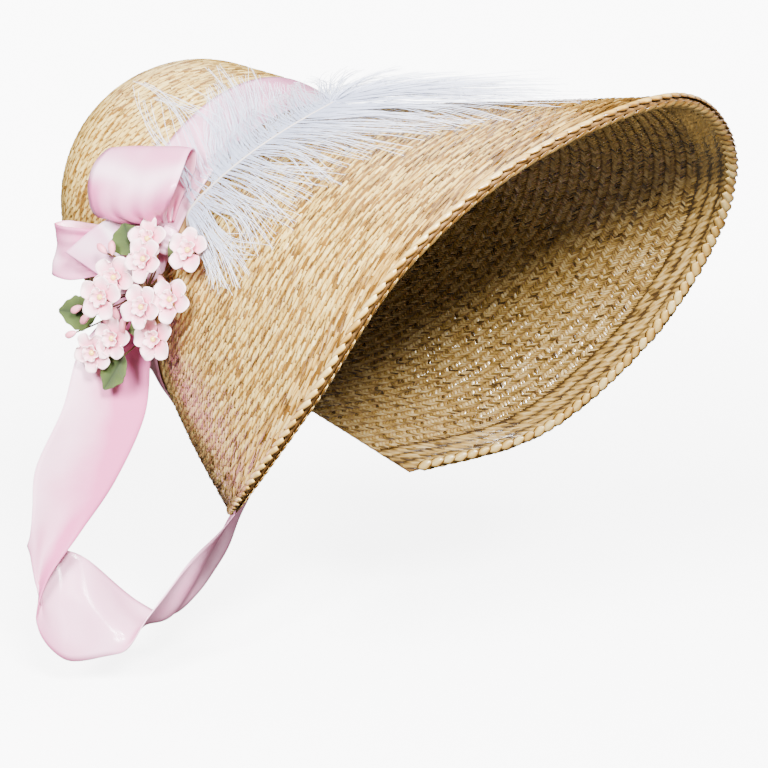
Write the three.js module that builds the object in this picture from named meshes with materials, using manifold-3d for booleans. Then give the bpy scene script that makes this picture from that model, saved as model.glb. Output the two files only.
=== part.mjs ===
import * as THREE from 'three';
import { mergeVertices } from 'three/addons/utils/BufferGeometryUtils.js';
import Module from 'manifold-3d';

// Poke bonnet of sewn straw braid, with a ribbon band, bow and chin tie, a flower spray and a plume.
// Millimetres, +Z up, the wearer looks along -Y and the wearer's left is +X.
// The origin is on top of the head ring, where crown and brim meet at the centre line.

const wasm = await Module();
wasm.setup();

// Driving sizes
const RING_HEIGHT = 208;      // head ring, top to nape
const RING_WIDTH = 176;       // head ring, side to side
const RING_LEAN = 20;         // degrees that the ring's top leans towards the face
const CROWN_DEPTH = 158;      // head ring to the back of the crown
const CROWN_RISE = 15.5;      // how far the crown's dome stands above the ring's centre
const BRIM_REACH = 242;       // head ring to the brim's front edge, along the centre line
const BRIM_HALF_WIDTH = 143;  // centre line to the brim's widest point
const BRIM_DROP = 224;        // head ring's top down to the brim's lower corners
const BRIM_END = 150;         // degrees round the ring, from its top, where the brim ends
const BRIM_BELLY = 7;         // how far the brim's rear ends bow out between ring and corner
const STRAW_WALL = 2.4;
const EDGE_BRAID_WIDTH = 8;
const EDGE_BRAID_WALL = 2;
const RIBBON_WIDTH = 40;      // satin ribbon of the band, the bow and the tie
const RIBBON_WALL = 1;
const BOW_LIFT = 28;          // how far the bow's upper loop stands off the crown
const KNOT_LENGTH = 17;
const KNOT_WIDTH = 13;
const KNOT_HEIGHT = 9;
const TIE_HALF_SPREAD = 140;  // centre line to the tie's outermost point
const TIE_DROP = 318;         // head ring's top down to the bottom of the tie
const TIE_FLARE = 30;         // how far the tie swings off the hat below the band
const SPRAY_LIFT = 38;        // how far the flower spray stands off the hat
const BLOSSOM_WIDTH = 19;
const BLOSSOM_CUP = 4.5;      // how far the petals rise from the middle to their rims
const BLOSSOM_PETALS = 5;
const PETAL_NOTCH = 0.62;      // the notch between two petals, as a share of the blossom's radius
const PETAL_WALL = 1;
const BUD_LENGTH = 8.5;
const BUD_WIDTH = 4.6;
const WIRE_WIDTH = 1.3;
const LEAF_LENGTH = 24;
const LEAF_WALL = 1;
const PLUME_LIFT = 28;        // highest stand of the plume over the hat
const SHAFT_WIDTH = 2.4;
const FROND_WIDTH = 15;
const FROND_WALL = 1.2;
const GAP = 0.3;              // clearance between neighbouring pieces
const BAND_EASE = 0.5;        // further slack of the band round the crown
const ROUND_STEPS = 36;       // facets round the crown and its band
const BRIM_STEPS = 42;        // facets round the brim
const TIE_STEPS = 54;         // facets along the chin tie

// Brim edge from the centre line to the lower corner, as shares of the brim's sizes
const BRIM_EDGE = [
  { across: 0, forward: 1, up: 0.033 },
  { across: 0.612, forward: 0.909, up: -0.085 },
  { across: 0.944, forward: 0.754, up: -0.308 },
  { across: 1, forward: 0.541, up: -0.614 },
  { across: 0.885, forward: 0.264, up: -0.888 },
  { across: 0.531, forward: 0.01, up: -1 },
];

// Crown sections from the head ring to the tip, as shares of its depth, half ring and rise
const CROWN_ROWS = [
  { depth: 0, wide: 1, high: 1, rise: 0 },
  { depth: 0.21, wide: 1, high: 0.94, rise: 0.6 },
  { depth: 0.45, wide: 0.98, high: 0.835, rise: 1 },
  { depth: 0.66, wide: 0.905, high: 0.77, rise: 1 },
  { depth: 0.84, wide: 0.69, high: 0.59, rise: 1 },
  { depth: 0.959, wide: 0.375, high: 0.32, rise: 1 },
  { depth: 1, wide: 0, high: 0, rise: 1 },
];

// Places on the hat are given by reach, turn and lift. Reach runs from -1 at the brim's edge
// through 0 at the head ring to 1 at the crown's tip, turn is degrees round the ring from its
// top with the wearer's right negative, and lift is a share of the piece's own lift.
const UPPER_LOOP = [
  { front: [0.035, -71, 0.1], rear: [0.1, -77, 0.1] },
  { front: [0.04, -64, 0.14], rear: [0.2, -79, 0.13] },
  { front: [0.03, -55, 0.36], rear: [0.31, -73, 0.18] },
  { front: [0.04, -51, 0.66], rear: [0.285, -65, 0.6] },
  { front: [-0.035, -53, 0.88], rear: [0.272, -71, 0.88] },
  { front: [-0.095, -61.5, 0.97], rear: [0.236, -79, 1] },
  { front: [-0.07, -67, 0.8], rear: [0.2, -83, 0.84] },
  { front: [-0.01, -70.5, 0.5], rear: [0.085, -75.5, 0.5] },
];
const SIDE_LOOP = [
  { front: [0.07, -82, 0.14], rear: [0.13, -78.5, 0.14] },
  { front: [0.14, -96, 0.11], rear: [0.2, -86, 0.11] },
  { front: [0.26, -109, 0.13], rear: [0.31, -93, 0.13] },
  { front: [0.34, -113, 0.37], rear: [0.39, -97, 0.33] },
  { front: [0.35, -112, 0.88], rear: [0.4, -98, 0.62] },
  { front: [0.275, -108.5, 0.8], rear: [0.33, -95, 0.7] },
  { front: [0.2, -101.5, 0.42], rear: [0.25, -90, 0.46] },
];
const FOLD_STRIP = [
  { front: [0, -85, 0.26], rear: [0.09, -77.5, 0.36] },
  { front: [0, -88, 0.25], rear: [0.164, -79, 0.54] },
  { front: [0.08, -93.5, 0.32], rear: [0.219, -87, 0.7] },
  { front: [0.135, -100, 0.46], rear: [0.266, -98, 1] },
];
const KNOT_PLACE = { reach: 0.02, turn: -76.5, towards: -90 };

// Chin tie: where it leaves the band on either side, as reach, turn and lift over the band
const TIE_TOP = [
  { front: [-0.03, 103, 0], rear: [0.17, 107.5, 0] },
  { front: [-0.05, 108, 0.14], rear: [0.16, 113, 0.45] },
];

// Its free stretch from the wearer's right, under the nape, to the left: both edges of the
// ribbon, as shares of the spread, the brim's reach and the drop
const TIE_ROWS = [
  { front: [-0.635, 0.2, -0.445], rear: [-0.815, 0.335, -0.43] },
  { front: [-0.65, 0.215, -0.545], rear: [-0.885, 0.35, -0.53] },
  { front: [-0.735, 0.265, -0.66], rear: [-0.965, 0.395, -0.635] },
  { front: [-0.84, 0.325, -0.755], rear: [-0.975, 0.405, -0.71] },
  { front: [-0.94, 0.38, -0.845], rear: [-0.98, 0.41, -0.755] },
  { front: [-0.96, 0.405, -0.935], rear: [-0.965, 0.425, -0.785] },
  { front: [-0.86, 0.385, -1], rear: [-0.87, 0.415, -0.795] },
  { front: [-0.745, 0.315, -0.995], rear: [-0.765, 0.36, -0.815] },
  { front: [-0.707, 0.256, -0.975], rear: [-0.543, 0.322, -0.912] },
  { front: [-0.65, 0.211, -0.915], rear: [-0.421, 0.281, -0.947] },
  { front: [-0.507, 0.202, -0.858], rear: [-0.286, 0.269, -0.915] },
  { front: [-0.264, 0.231, -0.799], rear: [-0.064, 0.318, -0.862] },
  { front: [0.22, 0.31, -0.7], rear: [0.36, 0.43, -0.73] },
  { front: [0.49, 0.28, -0.58], rear: [0.6, 0.42, -0.59] },
  { front: [0.635, 0.2, -0.445], rear: [0.72, 0.345, -0.46] },
];

// Flower spray: where each head stands, with the turn of its petals in degrees
const BLOSSOMS = [
  { reach: -0.076, turn: -81.3, lift: 0.62, spin: 10 },
  { reach: 0.065, turn: -90.9, lift: 0.7, spin: 40 },
  { reach: 0.059, turn: -95.5, lift: 0.9, spin: 5 },
  { reach: -0.012, turn: -76.8, lift: 0.5, spin: 55 },
  { reach: -0.2, turn: -74.8, lift: 0.34, spin: 20 },
  { reach: -0.222, turn: -88, lift: 0.38, spin: 0 },
  { reach: -0.165, turn: -92.2, lift: 0.64, spin: 30 },
  { reach: -0.2, turn: -100.4, lift: 0.4, spin: 64 },
  { reach: -0.04, turn: -104.5, lift: 0.76, spin: 15 },
  { reach: 0.05, turn: -110.5, lift: 0.97, spin: 48 },
];
const BUDS = [
  { reach: 0.09, turn: -86.4, lift: 0.74, tip: [0.115, -83] },
  { reach: 0.035, turn: -86.6, lift: 0.64, tip: [0.035, -83.5] },
  { reach: 0.125, turn: -88.4, lift: 0.66, tip: [0.165, -88] },
  { reach: -0.14, turn: -79.5, lift: 0.34, tip: [-0.19, -79.5] },
  { reach: 0.15, turn: -105, lift: 0.84, tip: [0.18, -109] },
  { reach: 0.11, turn: -104, lift: 0.86, tip: [0.13, -109] },
  { reach: 0.01, turn: -99.5, lift: 0.72, tip: [0.04, -98] },
  { reach: -0.06, turn: -98, lift: 0.7, tip: [-0.08, -101] },
  { reach: 0.03, turn: -101.5, lift: 0.7, tip: [0.06, -103] },
  { reach: 0.15, turn: -112.5, lift: 0.94, tip: [0.18, -116] },
  { reach: -0.09, turn: -84.5, lift: 0.38, tip: [-0.13, -86.5] },
];
const LEAVES = [
  { reach: 0.07, turn: -84.8, lift: 0.45, tip: [0.125, -80], wide: 0.8, long: 0.74 },
  { reach: 0.13, turn: -107, lift: 0.66, tip: [0.22, -113], wide: 0.7, long: 1 },
  { reach: -0.07, turn: -109, lift: 0.64, tip: [-0.05, -117], wide: 0.62, long: 1 },
  { reach: -0.1, turn: -99, lift: 0.36, tip: [-0.05, -102.5], wide: 0.45, long: 0.55 },
  { reach: -0.06, turn: -79.5, lift: 0.24, tip: [-0.12, -74], wide: 0.5, long: 0.6 },
];
const SPRAY_ROOT = { reach: -0.02, turn: -91, lift: 0.33, foot: -0.05 };

// Bud profile from its seat to its tip, as shares of its width and length
const BUD_OUTLINE = [
  { width: 0, height: 0 },
  { width: 0.55, height: 0.2 },
  { width: 1, height: 0.6 },
  { width: 0.7, height: 0.88 },
  { width: 0, height: 1 },
];

// The way the flower heads are bent to look: outwards, forwards and a little up
const SPRAY_FACING = new THREE.Vector3(-0.74, -0.65, 0.16);
const SPRAY_BEND = 1;         // share of that direction against standing straight off the hat

// Plume: its shaft, then the end of each frond and where on the shaft it starts
const SHAFT = [
  { reach: -0.02, turn: -69.5, lift: 0 },
  { reach: -0.05, turn: -64.5, lift: 0.23 },
  { reach: -0.133, turn: -51, lift: 0.31 },
  { reach: -0.2, turn: -36, lift: 0.33 },
  { reach: -0.245, turn: -25.3, lift: 0.39 },
  { reach: -0.27, turn: -19, lift: 0.47 },
];
const FRONDS = [
  { from: 0.34, reach: 0.14, turn: -37, lift: 0.24, wide: 0.9 },
  { from: 0.42, reach: 0.22, turn: -29, lift: 0.2, wide: 1 },
  { from: 0.5, reach: 0.2, turn: -21, lift: 0.22, wide: 1.1 },
  { from: 0.58, reach: 0.14, turn: -15, lift: 0.26, wide: 1.1 },
  { from: 0.67, reach: 0.07, turn: -11, lift: 0.32, wide: 1.2 },
  { from: 0.77, reach: 0.01, turn: -8, lift: 0.42, wide: 1.2 },
  { from: 0.87, reach: -0.07, turn: -7, lift: 0.5, wide: 1.2 },
  { from: 0.97, reach: -0.17, turn: -6, lift: 0.58, wide: 1.2 },
  { from: 0.1, reach: -0.36, turn: -82, lift: 0.16, wide: 0.9 },
  { from: 0.17, reach: -0.44, turn: -77, lift: 0.16, wide: 1 },
  { from: 0.24, reach: -0.48, turn: -70, lift: 0.16, wide: 1.1 },
  { from: 0.31, reach: -0.5, turn: -63, lift: 0.17, wide: 1.1 },
  { from: 0.38, reach: -0.52, turn: -56, lift: 0.18, wide: 1.1 },
  { from: 0.45, reach: -0.54, turn: -49, lift: 0.18, wide: 1.1 },
  { from: 0.52, reach: -0.58, turn: -42, lift: 0.2, wide: 1.2 },
  { from: 0.59, reach: -0.63, turn: -35, lift: 0.22, wide: 1.2 },
  { from: 0.66, reach: -0.69, turn: -28.5, lift: 0.24, wide: 1.2 },
  { from: 0.74, reach: -0.76, turn: -22.5, lift: 0.26, wide: 1.3 },
  { from: 0.82, reach: -0.84, turn: -16.5, lift: 0.26, wide: 1.3 },
  { from: 0.91, reach: -0.8, turn: -10, lift: 0.32, wide: 1.4 },
  { from: 1, reach: -0.68, turn: -4, lift: 0.42, wide: 1.4 },
];

const degrees = THREE.MathUtils.degToRad;
const vector = (x, y, z) => new THREE.Vector3(x, y, z);

// Head ring frame: ringUp runs up the ring, ringBack runs through it towards the crown
const ringUp = vector(0, -Math.sin(degrees(RING_LEAN)), Math.cos(degrees(RING_LEAN)));
const ringBack = vector(0, Math.cos(degrees(RING_LEAN)), Math.sin(degrees(RING_LEAN)));
const ringCentre = ringUp.clone().multiplyScalar(-RING_HEIGHT / 2);

// Catmull-Rom value through evenly spaced numbers, with the rows beyond both ends given
function smooth(values, share, before, after) {
  const spans = values.length - 1;
  const place = Math.min(Math.max(share, 0), 1) * spans;
  const i = Math.min(Math.floor(place), spans - 1);
  const f = place - i;
  const p0 = i === 0 ? before : values[i - 1];
  const p1 = values[i];
  const p2 = values[i + 1];
  const p3 = i + 2 > spans ? after : values[i + 2];
  const a = 2 * p1 + (p2 - p0) * f;
  const b = (2 * p0 - 5 * p1 + 4 * p2 - p3) * f * f;
  const c = (3 * p1 - p0 - 3 * p2 + p3) * f * f * f;
  return 0.5 * (a + b + c);
}

// One column of a table at a share of its length. first and last say how the end rows are
// mirrored: 1 or -1 repeats the neighbouring row with that sign, 0 carries the slope on.
function column(rows, name, share, first = 0, last = 0) {
  const values = rows.map((row) => row[name]);
  const n = values.length - 1;
  const before = first === 0 ? 2 * values[0] - values[1] : first * values[1];
  const after = last === 0 ? 2 * values[n] - values[n - 1] : last * values[n - 1];
  return smooth(values, share, before, after);
}

function crownPoint(share, turn) {
  const depth = column(CROWN_ROWS, 'depth', share, 0, 1) * CROWN_DEPTH;
  const wide = column(CROWN_ROWS, 'wide', share, 0, -1) * RING_WIDTH / 2;
  const high = column(CROWN_ROWS, 'high', share, 0, -1) * RING_HEIGHT / 2;
  const rise = column(CROWN_ROWS, 'rise', share, 0, 1) * CROWN_RISE;
  return ringCentre.clone()
    .addScaledVector(ringBack, depth)
    .addScaledVector(ringUp, rise + Math.cos(degrees(turn)) * high)
    .add(vector(Math.sin(degrees(turn)) * wide, 0, 0));
}

function edgePoint(turn) {
  const share = Math.abs(turn) / BRIM_END;
  const side = turn < 0 ? -1 : 1;
  return vector(
    side * column(BRIM_EDGE, 'across', share, -1) * BRIM_HALF_WIDTH,
    -column(BRIM_EDGE, 'forward', share, 1) * BRIM_REACH,
    column(BRIM_EDGE, 'up', share, 1) * BRIM_DROP,
  );
}

function brimPoint(share, turn) {
  const belly = BRIM_BELLY * Math.sin(Math.PI * share) * (Math.abs(turn) / BRIM_END) ** 4;
  return crownPoint(0, turn).lerp(edgePoint(turn), share).addScaledVector(ringBack, belly);
}

// Outward normal of a surface given by a share and a turn
function normalAt(surface, share, turn) {
  const low = Math.max(share - 0.004, 0);
  const high = Math.min(share + 0.004, 0.999);
  const along = surface(high, turn).sub(surface(low, turn));
  const round = surface(share, turn + 0.5).sub(surface(share, turn - 0.5));
  const normal = along.cross(round).normalize();
  return surface === brimPoint ? normal : normal.negate();
}

// A place on the hat's outside, with the lift in millimetres
function onHat(reach, turn, lift) {
  const surface = reach < 0 ? brimPoint : crownPoint;
  const share = Math.min(Math.abs(reach), 0.99);
  return surface(share, turn).addScaledVector(normalAt(surface, share, turn), lift);
}

// A closed mesh from loose triangles: shared corners merged, flat triangles dropped, faces out
function closedMesh(corners, triangles) {
  const loose = new THREE.BufferGeometry();
  const numbers = corners.flatMap((p) => [p.x, p.y, p.z]);
  loose.setAttribute('position', new THREE.Float32BufferAttribute(numbers, 3));
  loose.setIndex(triangles.flat());
  const merged = mergeVertices(loose, 1e-3);
  const index = [...merged.index.array];
  const kept = [];
  for (let i = 0; i < index.length; i += 3) {
    const [a, b, c] = index.slice(i, i + 3);
    if (a !== b && b !== c && c !== a) kept.push(a, b, c);
  }
  merged.setIndex(volumeOf(merged.attributes.position, kept) < 0 ? kept.reverse() : kept);
  return merged;
}

function volumeOf(position, index) {
  let sum = 0;
  const [a, b, c] = [vector(0, 0, 0), vector(0, 0, 0), vector(0, 0, 0)];
  for (let i = 0; i < index.length; i += 3) {
    a.fromBufferAttribute(position, index[i]);
    b.fromBufferAttribute(position, index[i + 1]);
    c.fromBufferAttribute(position, index[i + 2]);
    sum += a.dot(b.cross(c)) / 6;
  }
  return sum;
}

// A wall between two faces, each given by point(u, v) with u and v from 0 to 1.
// A round wall closes on itself along v.
function wall(stepsU, stepsV, face, back, round = false) {
  const corners = [];
  const triangles = [];
  const spot = (side, i, j) => (side * (stepsU + 1) + i) * (stepsV + 1) + j;
  for (const point of [face, back]) {
    for (let i = 0; i <= stepsU; i += 1) {
      for (let j = 0; j <= stepsV; j += 1) {
        corners.push(point(i / stepsU, j / stepsV));
      }
    }
  }
  const quad = (a, b, c, d) => triangles.push([a, b, c], [a, c, d]);
  for (let i = 0; i < stepsU; i += 1) {
    for (let j = 0; j < stepsV; j += 1) {
      quad(spot(0, i, j), spot(0, i + 1, j), spot(0, i + 1, j + 1), spot(0, i, j + 1));
      quad(spot(1, i, j), spot(1, i, j + 1), spot(1, i + 1, j + 1), spot(1, i + 1, j));
    }
  }
  for (let j = 0; j < stepsV; j += 1) {
    quad(spot(0, 0, j), spot(0, 0, j + 1), spot(1, 0, j + 1), spot(1, 0, j));
    quad(spot(0, stepsU, j + 1), spot(0, stepsU, j), spot(1, stepsU, j), spot(1, stepsU, j + 1));
  }
  if (!round) {
    for (let i = 0; i < stepsU; i += 1) {
      quad(spot(0, i + 1, 0), spot(0, i, 0), spot(1, i, 0), spot(1, i + 1, 0));
      quad(spot(0, i, stepsV), spot(0, i + 1, stepsV), spot(1, i + 1, stepsV), spot(1, i, stepsV));
    }
  }
  return closedMesh(corners, triangles);
}

// Straw crown: a dome that opens at the head ring, where its end face lies in the ring's plane
function crown() {
  const share = (u) => 1 - (1 - u) ** 1.15;
  const place = (u, v, inset) => {
    const turn = v * 360;
    const at = share(u);
    const normal = normalAt(crownPoint, at, turn);
    if (u === 0) normal.addScaledVector(ringBack, -normal.dot(ringBack)).normalize();
    if (u === 1) normal.copy(ringBack);
    const start = u === 0 ? GAP : 0;
    return crownPoint(at, turn).addScaledVector(normal, -inset).addScaledVector(ringBack, start);
  };
  return wall(11, ROUND_STEPS, (u, v) => place(u, v, 0), (u, v) => place(u, v, STRAW_WALL), true);
}

// Straw brim: flares from the ring to the front edge and ends in two lower corners
function brimPlace(share, turn, inset) {
  const normal = normalAt(brimPoint, share, turn);
  if (share === 0) normal.addScaledVector(ringBack, -normal.dot(ringBack)).normalize();
  return brimPoint(share, turn).addScaledVector(normal, -inset);
}

function brim() {
  const turn = (v) => (2 * v - 1) * BRIM_END;
  return wall(
    8,
    BRIM_STEPS,
    (u, v) => brimPlace(u, turn(v), 0),
    (u, v) => brimPlace(u, turn(v), STRAW_WALL),
  );
}

// Doubled braid along the front edge, on the outside of the brim
function edgeBraid() {
  const turn = (v) => (2 * v - 1) * BRIM_END;
  const place = (u, v, lift) => {
    const length = brimPoint(1, turn(v)).distanceTo(brimPoint(0, turn(v)));
    const share = 1 - (1 - u) * EDGE_BRAID_WIDTH / length;
    return brimPlace(share, turn(v), -GAP - lift);
  };
  return wall(1, BRIM_STEPS, (u, v) => place(u, v, EDGE_BRAID_WALL), (u, v) => place(u, v, 0));
}

// Ribbon band round the base of the crown
function crownShare(length) {
  let travelled = 0;
  let share = 0;
  while (travelled < length) {
    travelled += crownPoint(share, -90).distanceTo(crownPoint(share + 0.005, -90));
    share += 0.005;
  }
  return share;
}

function crownBand() {
  const first = crownShare(STRAW_WALL);
  const last = crownShare(STRAW_WALL + RIBBON_WIDTH);
  const place = (u, v, lift) => {
    const share = first + (last - first) * u;
    return crownPoint(share, v * 360).addScaledVector(normalAt(crownPoint, share, v * 360), lift);
  };
  const inside = GAP + BAND_EASE;
  const outside = inside + RIBBON_WALL;
  return wall(4, ROUND_STEPS, (u, v) => place(u, v, outside), (u, v) => place(u, v, inside), true);
}

// A ribbon between two edge curves: each edge is a list of points, the ribbon is ruled between
function ribbon(fronts, rears, steps) {
  const front = new THREE.CatmullRomCurve3(fronts, false, 'catmullrom', 0.5);
  const rear = new THREE.CatmullRomCurve3(rears, false, 'catmullrom', 0.5);
  const middle = (u) => front.getPoint(u).add(rear.getPoint(u)).multiplyScalar(0.5);
  const place = (u, v, side) => {
    const low = Math.max(u - 0.004, 0);
    const high = Math.min(u + 0.004, 1);
    const along = middle(high).sub(middle(low));
    const across = rear.getPoint(u).sub(front.getPoint(u));
    const normal = along.cross(across).normalize();
    return front.getPoint(u).lerp(rear.getPoint(u), v).addScaledVector(normal, side * RIBBON_WALL / 2);
  };
  return wall(steps, 2, (u, v) => place(u, v, 1), (u, v) => place(u, v, -1));
}

const bowPlace = ([reach, turn, lift]) => onHat(reach, turn, lift * BOW_LIFT);
const bowEdge = (rows, name) => rows.map((row) => bowPlace(row[name]));
const bowRibbon = (rows, steps) => ribbon(bowEdge(rows, 'front'), bowEdge(rows, 'rear'), steps);

function chinTie() {
  const seat = GAP + BAND_EASE + RIBBON_WALL + GAP + RIBBON_WALL / 2;
  const top = (name, side) => TIE_TOP.map((row) => onHat(
    row[name][0],
    side * row[name][1],
    seat + row[name][2] * TIE_FLARE,
  ));
  const hanging = (name) => TIE_ROWS.map((row) => vector(
    row[name][0] * TIE_HALF_SPREAD,
    row[name][1] * BRIM_REACH,
    row[name][2] * TIE_DROP,
  ));
  const edge = (name) => [...top(name, -1), ...hanging(name), ...top(name, 1).reverse()];
  return ribbon(edge('front'), edge('rear'), TIE_STEPS);
}

// A frame standing on the hat: z is away from the hat, y points to a second place on the hat
function standing(origin, away, towards) {
  const z = away.clone().normalize();
  const y = towards.clone().sub(origin);
  y.addScaledVector(z, -y.dot(z)).normalize();
  const x = y.clone().cross(z);
  return new THREE.Matrix4().makeBasis(x, y, z).setPosition(origin);
}

const sprayPlace = (row, extra = 0) => onHat(row.reach, row.turn, row.lift * SPRAY_LIFT + extra);
const sprayRise = (row) => sprayPlace(row, 1).sub(sprayPlace(row));
const sprayAway = (row) => sprayRise(row).addScaledVector(SPRAY_FACING, SPRAY_BEND);
const sprayTip = (row) => onHat(row.tip[0], row.tip[1], row.lift * SPRAY_LIFT);

function knot() {
  const { reach, turn } = KNOT_PLACE;
  const seat = onHat(reach, turn, GAP + RIBBON_WALL + GAP + KNOT_HEIGHT / 2);
  const away = onHat(reach, turn, 1).sub(onHat(reach, turn, 0));
  const body = new THREE.SphereGeometry(0.5, 12, 8);
  body.scale(KNOT_WIDTH, KNOT_LENGTH, KNOT_HEIGHT);
  body.applyMatrix4(standing(seat, away, onHat(reach, KNOT_PLACE.towards, 0)));
  return body;
}

// Cupped petals on a disc, two outline points to each petal and one to each notch
function blossom(row) {
  const sides = 3 * BLOSSOM_PETALS;
  const rimShare = (k) => (k % 3 === 0 ? PETAL_NOTCH : 1);
  const place = (u, v, level) => {
    const k = Math.round(v * sides) % sides;
    const radius = u * rimShare(k) * BLOSSOM_WIDTH / 2;
    const angle = degrees(k * 360 / sides + row.spin);
    const rise = BLOSSOM_CUP * (u * rimShare(k)) ** 1.6;
    return vector(radius * Math.cos(angle), radius * Math.sin(angle), rise + level);
  };
  const body = wall(2, sides, (u, v) => place(u, v, PETAL_WALL), (u, v) => place(u, v, 0), true);
  const crownwards = onHat(row.reach + 0.1, row.turn, 0);
  return body.applyMatrix4(standing(sprayPlace(row), sprayAway(row), crownwards));
}

function bud(row) {
  const outline = BUD_OUTLINE.map(({ width, height }) => (
    new THREE.Vector2(width * BUD_WIDTH / 2, height * BUD_LENGTH)
  ));
  const body = new THREE.LatheGeometry(outline, 6);
  return body.applyMatrix4(standing(sprayPlace(row), sprayAway(row), sprayTip(row)));
}

// Oval leaf with a folded midrib, growing from its seat towards its tip
function leaf(row) {
  const length = row.long * LEAF_LENGTH;
  const halfWidth = row.wide * LEAF_LENGTH / 2;
  const place = (u, v, level) => {
    const half = halfWidth * Math.sin(Math.PI * (0.04 + 0.92 * u ** 0.8));
    const side = 2 * v - 1;
    return vector(side * half, u * length, 0.25 * Math.abs(side) * half + 0.1 * length * u * u + level);
  };
  const body = wall(5, 2, (u, v) => place(u, v, LEAF_WALL), (u, v) => place(u, v, 0));
  return body.applyMatrix4(standing(sprayPlace(row), sprayAway(row), sprayTip(row)));
}

// A round rod along points, with flat ends
function rod(points, width, sides, steps) {
  const section = new THREE.Shape();
  for (let k = 0; k < sides; k += 1) {
    const angle = 2 * Math.PI * k / sides;
    section[k === 0 ? 'moveTo' : 'lineTo'](Math.cos(angle) * width / 2, Math.sin(angle) * width / 2);
  }
  section.closePath();
  const path = new THREE.CatmullRomCurve3(points, false, 'catmullrom', 0.5);
  const sweep = { steps, extrudePath: path, bevelEnabled: false, curveSegments: 1 };
  return new THREE.ExtrudeGeometry(section, sweep);
}

// Closed geometry to a solid and back, for joining
function solid(geometry) {
  const bare = new THREE.BufferGeometry();
  bare.setAttribute('position', geometry.attributes.position.clone());
  if (geometry.index) bare.setIndex(geometry.index.clone());
  const merged = mergeVertices(bare, 1e-3);
  return new wasm.Manifold(new wasm.Mesh({
    numProp: 3,
    vertProperties: new Float32Array(merged.attributes.position.array),
    triVerts: new Uint32Array(merged.index.array),
  }));
}

function joined(geometries) {
  const whole = geometries.map(solid).reduce((sum, piece) => sum.add(piece));
  const mesh = whole.getMesh();
  const geometry = new THREE.BufferGeometry();
  geometry.setAttribute('position', new THREE.Float32BufferAttribute(mesh.vertProperties, 3));
  geometry.setIndex([...mesh.triVerts]);
  return geometry;
}

// Wire stems: one foot is sewn to the brim, and from the root each wire runs low over the bow,
// then up to its flower, bud or leaf
function stems() {
  const { reach: rootReach, turn: rootTurn, foot } = SPRAY_ROOT;
  const root = onHat(rootReach, rootTurn, SPRAY_ROOT.lift * SPRAY_LIFT);
  const sewn = [onHat(foot, rootTurn, GAP), onHat(foot, rootTurn, GAP + WIRE_WIDTH)];
  const wires = [...BLOSSOMS, ...BUDS, ...LEAVES].map((row) => {
    const low = row.lift * 0.6 * SPRAY_LIFT;
    const turn = rootTurn + (row.turn - rootTurn) * 0.75;
    const reach = rootReach + (row.reach - rootReach) * 0.75;
    const head = sprayPlace(row);
    const away = sprayAway(row).normalize();
    const under = (depth) => head.clone().addScaledVector(away, -depth);
    return rod([root, onHat(reach, turn, low), under(GAP + WIRE_WIDTH), under(GAP)], WIRE_WIDTH, 3, 4);
  });
  return joined([rod([...sewn, root], WIRE_WIDTH, 4, 4), ...wires]);
}

// Plume: a shaft with flat tapering fronds that follow the hat's surface
function plume() {
  const spot = (share) => [
    column(SHAFT, 'reach', share),
    column(SHAFT, 'turn', share),
    GAP + SHAFT_WIDTH / 2 + column(SHAFT, 'lift', share) * PLUME_LIFT,
  ];
  const shaftPoints = Array.from({ length: 9 }, (_, k) => onHat(...spot(k / 8)));
  const fronds = FRONDS.map((row) => {
    const [reach, turn, lift] = spot(row.from);
    const centre = (u, extra = 0) => onHat(
      reach + (row.reach - reach) * u,
      turn + (row.turn - turn) * u ** 1.4,
      lift + (row.lift * PLUME_LIFT - lift) * u + extra,
    );
    const place = (u, v, side) => {
      const along = centre(Math.min(u + 0.02, 1)).sub(centre(Math.max(u - 0.02, 0)));
      const away = centre(u, 1).sub(centre(u));
      const across = along.cross(away).normalize();
      const width = row.wide * FROND_WIDTH * (0.45 + 0.85 * u - 0.95 * u * u);
      const flat = centre(u).addScaledVector(across, (v - 0.5) * width);
      return flat.addScaledVector(away, side * FROND_WALL / 2);
    };
    return wall(4, 1, (u, v) => place(u, v, 1), (u, v) => place(u, v, -1));
  });
  return joined([rod(shaftPoints, SHAFT_WIDTH, 6, 16), ...fronds]);
}

const STRAW = { color: 0xd3c3a4, roughness: 0.55, metalness: 0 };
const SATIN = { color: 0xe4d0da, roughness: 0.35, metalness: 0 };
const PETAL = { color: 0xe8cdd2, roughness: 0.7, metalness: 0 };
const GREEN = { color: 0x8fa05a, roughness: 0.85, metalness: 0 };
const WIRE = { color: 0x7a5a32, roughness: 0.6, metalness: 0 };
const FEATHER = { color: 0xe8e8ee, roughness: 0.8, metalness: 0 };

const bonnet = new THREE.Group();

function addPiece(name, geometry, finish) {
  const mesh = new THREE.Mesh(geometry, new THREE.MeshStandardMaterial(finish));
  mesh.name = name;
  bonnet.add(mesh);
}

addPiece('crown', crown(), STRAW);
addPiece('brim', brim(), STRAW);
addPiece('edge_braid', edgeBraid(), STRAW);
addPiece('crown_band', crownBand(), SATIN);
addPiece('bow_upper_loop', bowRibbon(UPPER_LOOP, 22), SATIN);
addPiece('bow_side_loop', bowRibbon(SIDE_LOOP, 20), SATIN);
addPiece('bow_fold', bowRibbon(FOLD_STRIP, 9), SATIN);
addPiece('bow_knot', knot(), SATIN);
addPiece('chin_tie', chinTie(), SATIN);
addPiece('flower_stems', stems(), WIRE);
BLOSSOMS.forEach((row, i) => addPiece(`blossom_${i + 1}`, blossom(row), PETAL));
BUDS.forEach((row, i) => addPiece(`bud_${i + 1}`, bud(row), PETAL));
LEAVES.forEach((row, i) => addPiece(`leaf_${i + 1}`, leaf(row), GREEN));
addPiece('plume', plume(), FEATHER);

export default bonnet;
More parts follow.
